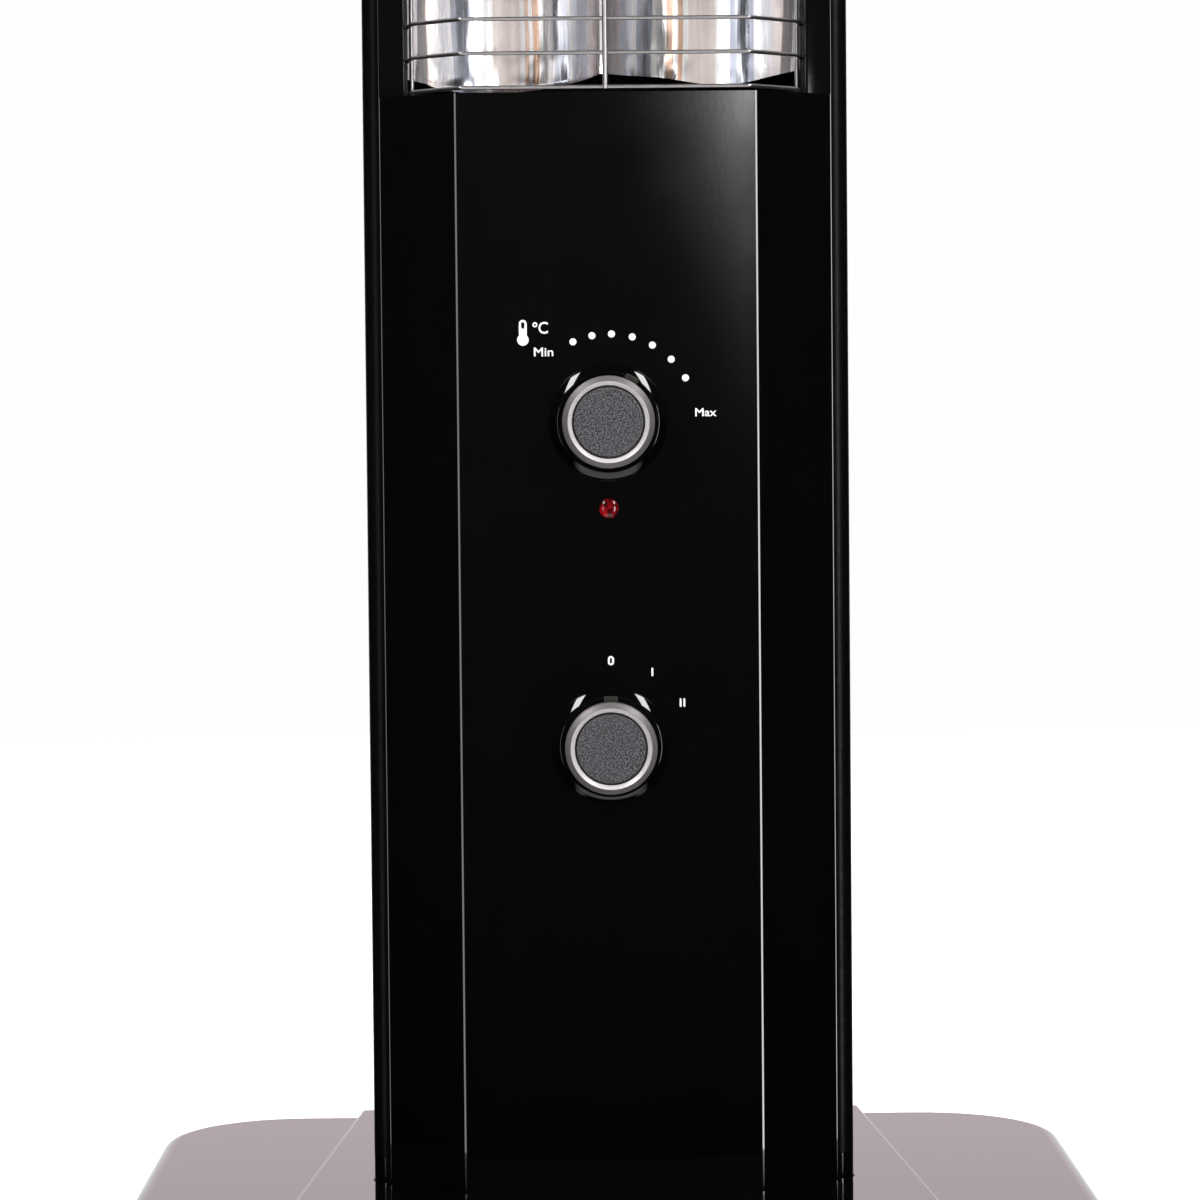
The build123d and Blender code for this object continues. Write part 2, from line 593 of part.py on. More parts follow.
def cap(seam_z, end_z):
    """End cap of the column: a hollow form with tongues that reach into the column."""
    up = 1 if end_z > seam_z else -1
    outer = cap_block(0, seam_z, end_z)
    core = cap_block(CAP_WALL, seam_z, end_z)
    tongue = TONGUE_WALL + SHELL_WALL + FIT
    with BuildPart() as body:
        add(outer)
        add(core, mode=Mode.SUBTRACT)
        with BuildSketch(Plane.XY.offset(seam_z + up * CAP_WALL)):
            with BuildLine():
                x = SHELL_X - SHELL_WALL - FIT
                y = BACK_Y - SHELL_WALL - FIT
                round_in = BACK_ROUND - SHELL_WALL - FIT
                corners = ((-x, TONGUE_FRONT_Y), (-x, y), (x, y), (x, TONGUE_FRONT_Y))
                FilletPolyline(*corners, radius=round_in)
                offset(amount=TONGUE_WALL, side=Side.RIGHT)
            make_face()
            with Locations((0, FACE_Y + COVER_WALL + FIT + TONGUE_WALL / 2)):
                Rectangle(FACE_WIDTH - 2 * tongue, TONGUE_WALL)
        extrude(amount=-up * (CAP_WALL + TONGUE_HEIGHT))
        with BuildSketch(front_plane(SHELL_INSIDE_Y - FIT)):
            with Locations(*cap_screw_places(seam_z, end_z)):
                Rectangle(CAP_BOSS_WIDTH, TONGUE_HEIGHT)
        extrude(amount=CAP_BOSS_DEPTH)
        with BuildSketch(front_plane(SHELL_INSIDE_Y - FIT)):
            with Locations(*cap_screw_places(seam_z, end_z)):
                RegularPolygon(SCREW_PILOT_RADIUS, ROUND_SIDES)
        extrude(amount=SCREW_BITE + PILOT_ROOM, mode=Mode.SUBTRACT)
    return body.part


with BuildPart() as bottom_cap:
    add(cap(BOTTOM_SEAM_Z, COLUMN_Z))
    with BuildSketch(Plane.XY.offset(COLUMN_Z)):
        with GridLocations(BOLT_SPACING_X, BOLT_SPACING_Y, 2, 2):
            RegularPolygon(BOLT_RADIUS + BOLT_FIT, ROUND_SIDES)
    extrude(amount=CAP_WALL, mode=Mode.SUBTRACT)
save(bottom_cap.part, "bottom_cap")

with BuildPart() as top_cap:
    add(cap(TOP_SEAM_Z, COLUMN_TOP_Z))
save(top_cap.part, "top_cap")


def base_plan(inset):
    """Plan of the base, drawn in by inset."""
    with BuildSketch() as plan:
        RectangleRounded(BASE_WIDTH - 2 * inset, BASE_DEPTH - 2 * inset, BASE_CORNER - inset)
    return plan.sketch


def base_block(inset, top_z):
    """Drafted block of the base: its upper edge is rounded outside and bevelled inside."""
    with BuildPart() as block:
        with BuildSketch(Plane.XY.offset(RIM_GAP)):
            add(base_plan(inset))
        extrude(amount=top_z - RIM_GAP, taper=BASE_DRAFT)
        if inset:
            chamfer(block.faces().sort_by(Axis.Z)[-1].edges(), length=BASE_INNER_BEVEL)
        else:
            fillet(block.faces().sort_by(Axis.Z)[-1].edges(), radius=BASE_EDGE)
    return block.part


def saddle_band(inset):
    """Middle band of the base, wider towards the front, as a tall block."""
    spread = (SADDLE_FACE_HALF - SADDLE_BACK_HALF) / (BASE_DEPTH / 2 - FACE_Y)
    back = SADDLE_BACK_HALF - inset
    front = back + spread * BASE_DEPTH
    y = BASE_DEPTH / 2
    with BuildPart() as band:
        with BuildSketch(Plane.XY.offset(RIM_GAP)):
            with BuildLine():
                Polyline((-front, -y), (front, -y), (back, y), (-back, y), close=True)
            make_face()
        extrude(amount=SADDLE_TOP)
    return band.part


def base_form(inset):
    """Wings and saddle of the base together, drawn in by inset."""
    with BuildPart() as form:
        add(base_block(inset, SADDLE_TOP - inset))
        add(saddle_band(inset), mode=Mode.INTERSECT)
        add(base_block(inset, BASE_TOP - inset))
    return form.part


# Tub for the column's foot and four screw bosses, reaching up into the base shell's wall
with BuildPart() as base_inside:
    with BuildSketch(Plane.XY.offset(POCKET_Z)):
        add(column_plan.sketch)
        offset(amount=POCKET_FIT + POCKET_WALL)
    extrude(amount=SADDLE_TOP - POCKET_Z)
    with BuildSketch(Plane.XY.offset(PLATE_Z + PLATE_WALL)):
        with GridLocations(BASE_SCREW_SPACING_X, BASE_SCREW_SPACING_Y, 2, 2):
            RegularPolygon(BASE_BOSS_RADIUS, ROUND_SIDES)
    extrude(amount=SADDLE_TOP - PLATE_Z - PLATE_WALL)
    add(base_form(BASE_WALL / 2), mode=Mode.INTERSECT)

# Base shell: a hollow moulding with a raised saddle and a pocket that takes the column's foot
with BuildPart() as base_shell:
    add(base_form(0))
    add(base_form(BASE_WALL), mode=Mode.SUBTRACT)
    add(base_inside.part)
    with BuildSketch(Plane.XY.offset(COLUMN_Z)):
        add(column_plan.sketch)
        offset(amount=POCKET_FIT)
    extrude(amount=SADDLE_TOP, mode=Mode.SUBTRACT)
    with BuildSketch(Plane.XY.offset(POCKET_Z)):
        with GridLocations(BOLT_SPACING_X, BOLT_SPACING_Y, 2, 2):
            RegularPolygon(BOLT_RADIUS + BOLT_FIT, ROUND_SIDES)
    extrude(amount=POCKET_FLOOR, mode=Mode.SUBTRACT)
    with BuildSketch(Plane.XY.offset(PLATE_Z + PLATE_WALL)):
        with GridLocations(BASE_SCREW_SPACING_X, BASE_SCREW_SPACING_Y, 2, 2):
            RegularPolygon(SCREW_PILOT_RADIUS, ROUND_SIDES)
    extrude(amount=SCREW_BITE + PILOT_ROOM, mode=Mode.SUBTRACT)
save(base_shell.part, "base_shell")

# Bottom plate of the base, with holes for the feet, the screws, the bolts and the tilt plunger
with BuildPart() as base_plate:
    with BuildSketch(Plane.XY.offset(PLATE_Z)):
        add(base_plan(PLATE_INSET))
        with GridLocations(FOOT_SPACING_X, FOOT_SPACING_Y, 2, 2):
            RegularPolygon(FOOT_STEM_RADIUS, ROUND_SIDES, mode=Mode.SUBTRACT)
        with GridLocations(BASE_SCREW_SPACING_X, BASE_SCREW_SPACING_Y, 2, 2):
            RegularPolygon(SCREW_HOLE_RADIUS, ROUND_SIDES, mode=Mode.SUBTRACT)
        with GridLocations(BOLT_SPACING_X, BOLT_SPACING_Y, 2, 2):
            RegularPolygon(BOLT_HEAD_RADIUS + BOLT_ACCESS, ROUND_SIDES, mode=Mode.SUBTRACT)
        with Locations((TILT_X, 0)):
            Circle(PLUNGER_RADIUS + PLUNGER_ROOM, mode=Mode.SUBTRACT)
    extrude(amount=PLATE_WALL)
save(base_plate.part, "base_plate")

# Rubber feet: pads with stems that snap through the bottom plate
with BuildPart() as rubber_feet:
    with BuildSketch():
        with GridLocations(FOOT_SPACING_X, FOOT_SPACING_Y, 2, 2):
            Circle(FOOT_RADIUS)
    extrude(amount=FOOT_HEIGHT, taper=-FOOT_TAPER)
    with BuildSketch(Plane.XY.offset(FOOT_HEIGHT)):
        with GridLocations(FOOT_SPACING_X, FOOT_SPACING_Y, 2, 2):
            RegularPolygon(FOOT_STEM_RADIUS, ROUND_SIDES)
    extrude(amount=PLATE_WALL + FOOT_KNOB_HEIGHT)
    with BuildSketch(Plane.XY.offset(FOOT_HEIGHT + PLATE_WALL)):
        with GridLocations(FOOT_SPACING_X, FOOT_SPACING_Y, 2, 2):
            RegularPolygon(FOOT_STEM_RADIUS + FOOT_KNOB_LIP, ROUND_SIDES)
    extrude(amount=FOOT_KNOB_HEIGHT)
save(rubber_feet.part, "rubber_feet")

# Screws that hold the bottom plate to the base shell
with BuildPart() as base_screws:
    with BuildSketch(Plane.XY.offset(PLATE_Z)):
        with GridLocations(BASE_SCREW_SPACING_X, BASE_SCREW_SPACING_Y, 2, 2):
            RegularPolygon(SCREW_HEAD_RADIUS, ROUND_SIDES)
    extrude(amount=-SCREW_HEAD_HEIGHT)
    with BuildSketch(Plane.XY.offset(PLATE_Z)):
        with GridLocations(BASE_SCREW_SPACING_X, BASE_SCREW_SPACING_Y, 2, 2):
            RegularPolygon(SCREW_RADIUS, SHANK_SIDES)
    extrude(amount=PLATE_WALL + SCREW_BITE)
save(base_screws.part, "base_screws")

# Steel bracket inside the bottom cap, with two upturned flanges
with BuildPart() as column_bracket:
    with BuildSketch(Plane.XZ):
        with BuildLine():
            FilletPolyline(
                (-BRACKET_WIDTH / 2, BRACKET_Z + BRACKET_FLANGE),
                (-BRACKET_WIDTH / 2, BRACKET_Z),
                (BRACKET_WIDTH / 2, BRACKET_Z),
                (BRACKET_WIDTH / 2, BRACKET_Z + BRACKET_FLANGE),
                radius=BRACKET_BEND,
            )
            offset(amount=BRACKET_WALL, side=Side.LEFT)
        make_face()
    extrude(amount=BRACKET_DEPTH / 2, both=True)
    with BuildSketch(Plane.XY.offset(BRACKET_Z)):
        with GridLocations(BOLT_SPACING_X, BOLT_SPACING_Y, 2, 2):
            RegularPolygon(BOLT_RADIUS + BOLT_FIT, ROUND_SIDES)
    extrude(amount=BRACKET_WALL, mode=Mode.SUBTRACT)
save(column_bracket.part, "column_bracket")

# Bolts from below, through pocket, cap and bracket, and their nuts
with BuildPart() as column_bolts:
    with BuildSketch(Plane.XY.offset(POCKET_Z)):
        with GridLocations(BOLT_SPACING_X, BOLT_SPACING_Y, 2, 2):
            RegularPolygon(BOLT_HEAD_RADIUS, 6)
    extrude(amount=-BOLT_HEAD_HEIGHT)
    with BuildSketch(Plane.XY.offset(POCKET_Z)):
        with GridLocations(BOLT_SPACING_X, BOLT_SPACING_Y, 2, 2):
            RegularPolygon(BOLT_RADIUS, ROUND_SIDES)
    extrude(amount=POCKET_FLOOR + CAP_WALL + BRACKET_WALL + BOLT_END)
save(column_bolts.part, "column_bolts")

with BuildPart() as column_nuts:
    with BuildSketch(Plane.XY.offset(BRACKET_Z + BRACKET_WALL)):
        with GridLocations(BOLT_SPACING_X, BOLT_SPACING_Y, 2, 2):
            RegularPolygon(BOLT_HEAD_RADIUS, 6)
            RegularPolygon(BOLT_RADIUS + NUT_FIT, ROUND_SIDES, mode=Mode.SUBTRACT)
    extrude(amount=NUT_HEIGHT)
save(column_nuts.part, "column_nuts")

# Tilt switch on the bottom plate; its plunger is pressed in by the floor
with BuildPart() as tilt_switch_body:
    with BuildSketch(Plane.XY.offset(PLATE_Z + PLATE_WALL)):
        with Locations((TILT_X, 0)):
            Rectangle(TILT_WIDTH, TILT_DEPTH)
    extrude(amount=TILT_HEIGHT)
    with BuildSketch(Plane.XY.offset(PLATE_Z + PLATE_WALL)):
        with Locations((TILT_X, 0)):
            Circle(PLUNGER_RADIUS + PLUNGER_FIT)
    extrude(amount=PLUNGER_LENGTH - PLATE_Z - PLATE_WALL + FIT, mode=Mode.SUBTRACT)
save(tilt_switch_body.part, "tilt_switch_body")

with BuildPart() as tilt_plunger:
    with BuildSketch():
        with Locations((TILT_X, 0)):
            Circle(PLUNGER_RADIUS)
    extrude(amount=PLUNGER_LENGTH)
    chamfer(tilt_plunger.faces().sort_by(Axis.Z)[0].edges(), length=PLUNGER_CHAMFER)
save(tilt_plunger.part, "tilt_plunger")

# Screws of the column
shell_screws = screws(post_places(), POST_MEET_Y + POST_SEAT, POST_SEAT + SCREW_BITE, -1)
save(shell_screws, "shell_screws")

shield_screw_length = BACK_Y - SHIELD_BACK_Y + SHIELD_WALL + SCREW_END
shield_screws = screws(shield_post_places(), BACK_Y, shield_screw_length, -1)
save(shield_screws, "shield_screws")

frame_screw_length = SHIELD_WALL + REFLECTOR_WALL + SCREW_BITE
frame_screws = screws(frame_screw_places(), SHIELD_Y + SHIELD_WALL, frame_screw_length, -1)
save(frame_screws, "frame_screws")

cap_places = cap_screw_places(BOTTOM_SEAM_Z, COLUMN_Z) + cap_screw_places(TOP_SEAM_Z, COLUMN_TOP_Z)
cap_screws = screws(cap_places, BACK_Y, SHELL_WALL + FIT + SCREW_BITE, -1)
save(cap_screws, "cap_screws")

bridge_screw_length = BRIDGE_WALL + BRIDGE_STAND_OFF - PILOT_FLOOR - PILOT_ROOM
bridge_screws = screws(bridge_boss_places(), BRIDGE_BACK_Y, bridge_screw_length, -1)
save(bridge_screws, "bridge_screws")

control_screws = screws(control_screw_places(), BRIDGE_Y, BRIDGE_WALL + SCREW_BITE, 1)
save(control_screws, "control_screws")

# Control bridge: the steel plate that carries thermostat, lamp and power switch
with BuildPart() as control_bridge:
    with BuildSketch(front_plane(BRIDGE_BACK_Y)):
        with Locations((0, (BRIDGE_LOW_Z + BRIDGE_HIGH_Z) / 2)):
            Rectangle(BRIDGE_WIDTH, BRIDGE_HIGH_Z - BRIDGE_LOW_Z)
        with Locations(*bridge_boss_places(), *control_screw_places()):
            RegularPolygon(SCREW_HOLE_RADIUS, ROUND_SIDES, mode=Mode.SUBTRACT)
        with Locations((0, THERMOSTAT_Z), (0, POWER_Z)):
            Circle(BUSH_RADIUS + BUSH_FIT, mode=Mode.SUBTRACT)
        with Locations((0, LAMP_Z)):
            Circle(LAMP_BODY_RADIUS + BUSH_FIT, mode=Mode.SUBTRACT)
    extrude(amount=BRIDGE_WALL)
save(control_bridge.part, "control_bridge")


def control_body(z, width, height, depth, blades):
    """Moulded body of a rotary control with its bush, bore and terminal blades."""
    with BuildPart() as body:
        with BuildSketch(front_plane(BRIDGE_BACK_Y)):
            with Locations((0, z)):
                Rectangle(width, height)
        extrude(amount=-depth)
        with BuildSketch(front_plane(BRIDGE_BACK_Y)):
            with Locations((0, z)):
                Circle(BUSH_RADIUS)
        extrude(amount=BRIDGE_WALL + BUSH_REACH)
        with BuildSketch(front_plane(BRIDGE_Y - BUSH_REACH)):
            with Locations((0, z)):
                Circle(SPINDLE_RADIUS + SPINDLE_FIT)
        extrude(amount=-(BUSH_REACH + BRIDGE_WALL + SPINDLE_DEPTH + FIT), mode=Mode.SUBTRACT)
        with BuildSketch(front_plane(BRIDGE_BACK_Y)):
            with Locations(*[(side * CONTROL_SCREW_SPACING / 2, z) for side in (-1, 1)]):
                RegularPolygon(SCREW_PILOT_RADIUS, ROUND_SIDES)
        extrude(amount=-(SCREW_BITE + PILOT_ROOM), mode=Mode.SUBTRACT)
        with BuildSketch(front_plane(BRIDGE_BACK_Y + depth)):
            with Locations((0, z)):
                with GridLocations(BLADE_SPACING, BLADE_ROW_SPACING, 2, blades // 2):
                    Rectangle(BLADE_WALL, BLADE_WIDTH)
        extrude(amount=-BLADE_LENGTH)
    return body.part


thermostat_body = control_body(THERMOSTAT_Z, THERMOSTAT_WIDTH, THERMOSTAT_HEIGHT, THERMOSTAT_DEPTH, 2)
save(thermostat_body, "thermostat_body")

power_switch_body = control_body(POWER_Z, SWITCH_WIDTH, SWITCH_HEIGHT, SWITCH_DEPTH, 4)
save(power_switch_body, "power_switch_body")


def knob_plane(z):
    """Half plane through a knob's axis: local X is radius, local Y is height above the panel."""
    return Plane(origin=(0, FACE_Y, z), x_dir=(1, 0, 0), z_dir=(0, 0, -1))


def turn(points, z):
    """Solid turned about a knob's axis from an outline of radius and height pairs."""
    with BuildPart() as turned:
        with BuildSketch(knob_plane(z)):
            with BuildLine():
                Polyline(*points, close=True)
            make_face()
        revolve(axis=Axis((0, FACE_Y, z), (0, -1, 0)))
    return turned.part


def d_section(radius, flat, z, angle):
    """Round section with one flat, turned clockwise by angle as seen from the front."""
    with BuildSketch() as section:
        with Locations(Location((0, z, 0), (0, 0, -angle))):
            Circle(radius)
            with Locations((0, flat + radius / 2)):
                Rectangle(2 * radius, radius, mode=Mode.SUBTRACT)
    return section.sketch


def bezel(z):
    """Fixed collar round a knob, swelling from the panel to its crest, with a rounded bore."""
    foot = (BEZEL_RADIUS, BEZEL_FOOT)
    crest = (BEZEL_BORE_RADIUS + BEZEL_LIP_ROUND, BEZEL_HEIGHT)
    with BuildPart() as collar:
        with BuildSketch(knob_plane(z)):
            with BuildLine():
                RadiusArc(foot, crest, -BEZEL_SWELL)
                lip = JernArc(crest, (-1, 0), BEZEL_LIP_ROUND, 90)
                Polyline(lip @ 1, (BEZEL_BORE_RADIUS, 0), (BEZEL_RADIUS, 0), foot)
            make_face()
        revolve(axis=Axis((0, FACE_Y, z), (0, -1, 0)))
    return collar.part


def knob(z, angle):
    """Hollow knob moulding with a hub that grips the spindle's flat."""
    under = KNOB_HEIGHT - KNOB_WALL
    hub_back = KNOB_GAP + HUB_SET_BACK
    points = (
        (0, KNOB_HEIGHT),
        (KNOB_RADIUS, KNOB_HEIGHT),
        (KNOB_RADIUS, KNOB_GAP),
        (KNOB_RADIUS - KNOB_WALL, KNOB_GAP),
        (KNOB_RADIUS - KNOB_WALL, under),
        (HUB_RADIUS, under),
        (HUB_RADIUS, hub_back),
        (0, hub_back),
    )
    with BuildPart() as moulding:
        add(turn(points, z))
        with BuildSketch(front_plane(FACE_Y - hub_back)):
            add(d_section(SPINDLE_RADIUS + HUB_FIT, SPINDLE_FLAT + HUB_FIT, z, angle))
        extrude(amount=HUB_DEPTH + FIT, mode=Mode.SUBTRACT)
    return moulding.part


def ring(z, angle):
    """Bright ring that caps the knob's edge, with its pointer tab."""
    points = (
        (KNOB_RADIUS, RING_BACK),
        (RING_RADIUS, RING_BACK),
        (RING_RADIUS, RING_SHOULDER),
        (RING_CREST_RADIUS, RING_FRONT),
        (RING_INNER_RADIUS, RING_FRONT - RING_BEVEL),
        (RING_INNER_RADIUS, KNOB_HEIGHT),
        (KNOB_RADIUS, KNOB_HEIGHT),
    )
    with BuildPart() as cap_ring:
        add(turn(points, z))
        tip = RING_RADIUS + POINTER_REACH
        with BuildSketch(front_plane(FACE_Y - RING_BACK)):
            with Locations((0, z)):
                with PolarLocations((tip + KNOB_RADIUS) / 2, 1, start_angle=90 - angle):
                    Rectangle(tip - KNOB_RADIUS, POINTER_WIDTH)
        extrude(amount=POINTER_DEPTH)
    return cap_ring.part


def insert(z):
    """Thin disc in the middle of a knob."""
    with BuildPart() as disc:
        with BuildSketch(front_plane(FACE_Y - KNOB_HEIGHT)):
            with Locations((0, z)):
                Circle(INSERT_RADIUS)
        extrude(amount=INSERT_WALL)
    return disc.part


def spindle(z, angle):
    """Round spindle from the control's body to the knob's hub, with a flat at its front end."""
    hub_back_y = FACE_Y - KNOB_GAP - HUB_SET_BACK
    rear_y = BRIDGE_BACK_Y + SPINDLE_DEPTH
    with BuildPart() as shaft:
        with BuildSketch(front_plane(rear_y)):
            with Locations((0, z)):
                Circle(SPINDLE_RADIUS)
        extrude(amount=rear_y - hub_back_y)
        with BuildSketch(front_plane(hub_back_y)):
            add(d_section(SPINDLE_RADIUS, SPINDLE_FLAT, z, angle))
        extrude(amount=HUB_DEPTH)
    return shaft.part


with BuildPart() as knob_bezels:
    add(bezel(THERMOSTAT_Z))
    add(bezel(POWER_Z))
save(knob_bezels.part, "knob_bezels")

for name, z, angle in (("thermostat", THERMOSTAT_Z, THERMOSTAT_REST), ("power", POWER_Z, POWER_REST)):
    save(knob(z, angle), f"{name}_knob")
    save(ring(z, angle), f"{name}_ring")
    save(insert(z), f"{name}_insert")
    save(spindle(z, angle), f"{name}_spindle")

# Lamp: a red lens through the panel and its body through the bridge
lens_back = COVER_WALL + LAMP_FLANGE_WALL
with BuildPart() as lamp_lens:
    with BuildSketch(knob_plane(LAMP_Z)):
        with BuildLine():
            Polyline(
                (LAMP_RADIUS, 0),
                (LAMP_CROWN_RADIUS, LAMP_CROWN),
                (0, LAMP_DOME),
                (0, -lens_back),
                (LAMP_FLANGE_RADIUS, -lens_back),
                (LAMP_FLANGE_RADIUS, -COVER_WALL),
                (LAMP_RADIUS, -COVER_WALL),
                (LAMP_RADIUS, 0),
            )
        make_face()
    revolve(axis=Axis((0, FACE_Y, LAMP_Z), (0, -1, 0)))
save(lamp_lens.part, "lamp_lens")

with BuildPart() as lamp_body:
    with BuildSketch(front_plane(FACE_Y + lens_back)):
        with Locations((0, LAMP_Z)):
            Circle(LAMP_BODY_RADIUS)
    extrude(amount=-LAMP_BODY_LENGTH)
    with BuildSketch(front_plane(FACE_Y + lens_back + LAMP_BODY_LENGTH)):
        with Locations((0, LAMP_Z)):
            with GridLocations(LAMP_BLADE_SPACING, 1, 2, 1):
                Rectangle(BLADE_WALL, LAMP_BLADE_WIDTH)
    extrude(amount=-BLADE_LENGTH)
save(lamp_body.part, "lamp_body")


def guard_line(z):
    """Run of one guard wire: hook, slant, flat front, slant, hook."""
    flat_y = FACE_Y + WIRE_FRONT_SET
    slant_y = flat_y + WIRE_SLANT_DEPTH
    end_y = slant_y + WIRE_HOOK_DEPTH
    return [
        (-WIRE_END_HALF, end_y, z),
        (-WIRE_SLANT_HALF, slant_y, z),
        (-WIRE_FLAT_HALF, flat_y, z),
        (WIRE_FLAT_HALF, flat_y, z),
        (WIRE_SLANT_HALF, slant_y, z),
        (WIRE_END_HALF, end_y, z),
    ]


# One guard wire, then the whole ladder of them
with BuildPart() as guard_wire:
    with BuildLine():
        run = Polyline(*guard_line(WIRE_LOW_Z))
    with BuildSketch(Plane(origin=run @ 0, z_dir=run % 0)):
        RegularPolygon(WIRE_RADIUS, WIRE_SIDES)
    sweep(transition=Transition.RIGHT)

with BuildPart() as guard_wires:
    with Locations(*[(0, 0, index * WIRE_PITCH) for index in range(WIRE_COUNT)]):
        add(guard_wire.part)
save(guard_wires.part, "guard_wires")

# Uprights of the guard: one in front, and a rod behind the wires' ends at each side
wire_top_z = WIRE_LOW_Z + (WIRE_COUNT - 1) * WIRE_PITCH
with BuildPart() as guard_uprights:
    with BuildSketch(Plane.XY.offset(WIRE_LOW_Z - WIRE_RADIUS)):
        with Locations((0, FACE_Y + WIRE_FRONT_SET - WIRE_RADIUS - UPRIGHT_RADIUS)):
            RegularPolygon(UPRIGHT_RADIUS, ROUND_SIDES)
    extrude(amount=wire_top_z - WIRE_LOW_Z + 2 * WIRE_RADIUS)
    with BuildSketch(Plane.XY.offset(WIRE_LOW_Z)):
        with Locations((-SIDE_ROD_X, SIDE_ROD_Y), (SIDE_ROD_X, SIDE_ROD_Y)):
            RegularPolygon(SIDE_ROD_RADIUS, ROUND_SIDES)
    extrude(amount=wire_top_z - WIRE_LOW_Z)
save(guard_uprights.part, "guard_uprights")


def trough_line():
    """Front line of the double trough in plan, with its two side flanges."""
    floor_y = REFLECTOR_Y + TROUGH_DEPTH
    ridge_y = REFLECTOR_Y + RIDGE_DEPTH
    Line((-FLANGE_X, REFLECTOR_Y), (-REFLECTOR_X, REFLECTOR_Y))
    ThreePointArc((-REFLECTOR_X, REFLECTOR_Y), (-TUBE_X, floor_y), (-RIDGE_HALF, ridge_y))
    Line((-RIDGE_HALF, ridge_y), (RIDGE_HALF, ridge_y))
    ThreePointArc((RIDGE_HALF, ridge_y), (TUBE_X, floor_y), (REFLECTOR_X, REFLECTOR_Y))
    Line((REFLECTOR_X, REFLECTOR_Y), (FLANGE_X, REFLECTOR_Y))


# Reflector: one bright sheet bent into two troughs with a ridge between them
with BuildPart() as reflector:
    with BuildSketch(Plane.XY.offset(REFLECTOR_LOW_Z)):
        with BuildLine():
            trough_line()
            offset(amount=REFLECTOR_WALL, side=Side.LEFT)
        make_face()
    extrude(amount=REFLECTOR_HIGH_Z - REFLECTOR_LOW_Z)
    with BuildSketch(front_plane(REFLECTOR_Y)):
        with Locations(*frame_screw_places()):
            RegularPolygon(SCREW_HOLE_RADIUS, ROUND_SIDES)
    extrude(amount=-REFLECTOR_WALL, mode=Mode.SUBTRACT)
save(reflector.part, "reflector")

# Heat shield: an open box of sheet steel behind the reflector, with front flanges
with BuildPart() as heat_shield:
    with BuildSketch(Plane.XY.offset(WINDOW_BOTTOM_Z)) as shield_plan:
        with Locations((0, (SHIELD_Y + SHIELD_BACK_Y) / 2)):
            Rectangle(2 * SHIELD_HALF, SHIELD_BACK_Y - SHIELD_Y)
        fillet(shield_plan.vertices().group_by(Axis.Y)[-1], radius=SHIELD_ROUND)
    extrude(amount=WINDOW_TOP_Z - WINDOW_BOTTOM_Z)
    offset(amount=-SHIELD_WALL, openings=heat_shield.faces().sort_by(Axis.Y)[0])
    with BuildSketch(front_plane(SHIELD_Y)):
        with Locations((0, (WINDOW_BOTTOM_Z + WINDOW_TOP_Z) / 2)):
            Rectangle(2 * SHIELD_HALF, WINDOW_TOP_Z - WINDOW_BOTTOM_Z)
            Rectangle(2 * (FLANGE_X - FLANGE_WIDTH), WINDOW_TOP_Z - WINDOW_BOTTOM_Z, mode=Mode.SUBTRACT)
    extrude(amount=-SHIELD_WALL)
    with BuildSketch(front_plane(SHIELD_Y)):
        with Locations(*frame_screw_places()):
            RegularPolygon(SCREW_HOLE_RADIUS, ROUND_SIDES)
    extrude(amount=-SHIELD_WALL, mode=Mode.SUBTRACT)
    with BuildSketch(front_plane(SHIELD_BACK_Y)):
        with Locations(*shield_post_places()):
            RegularPolygon(SCREW_PILOT_RADIUS, ROUND_SIDES)
    extrude(amount=SHIELD_WALL, mode=Mode.SUBTRACT)
save(heat_shield.part, "heat_shield")

# Heating tubes, each with a carbon strip inside and a ceramic end at top and bottom
for side, name in ((-1, "left"), (1, "right")):
    with BuildPart() as tube:
        with BuildSketch(Plane.XY.offset(TUBE_LOW_Z)):
            with Locations((side * TUBE_X, TUBE_Y)):
                Circle(TUBE_RADIUS)
                Circle(TUBE_RADIUS - TUBE_WALL, mode=Mode.SUBTRACT)
        extrude(amount=TUBE_LENGTH)
    save(tube.part, f"quartz_tube_{name}")
    with BuildPart() as strip:
        with BuildSketch(Plane.XY.offset(TUBE_LOW_Z)):
            with Locations((side * TUBE_X, TUBE_Y)):
                Rectangle(STRIP_WIDTH, STRIP_WALL)
        extrude(amount=TUBE_LENGTH)
    save(strip.part, f"carbon_strip_{name}")

low_end_z = TUBE_LOW_Z + CERAMIC_GRIP - CERAMIC_HEIGHT
high_end_z = TUBE_HIGH_Z - CERAMIC_GRIP
with BuildPart() as ceramic_ends:
    for low_z, bore_z in ((low_end_z, TUBE_LOW_Z), (high_end_z, high_end_z)):
        with BuildSketch(Plane.XY.offset(low_z)):
            with Locations((-TUBE_X, TUBE_Y), (TUBE_X, TUBE_Y)):
                Rectangle(CERAMIC_WIDTH, CERAMIC_DEPTH)
        extrude(amount=CERAMIC_HEIGHT)
        with BuildSketch(Plane.XY.offset(bore_z)):
            with Locations((-TUBE_X, TUBE_Y), (TUBE_X, TUBE_Y)):
                Circle(TUBE_RADIUS + CERAMIC_BORE_FIT)
        extrude(amount=CERAMIC_GRIP, mode=Mode.SUBTRACT)
save(ceramic_ends.part, "ceramic_ends")

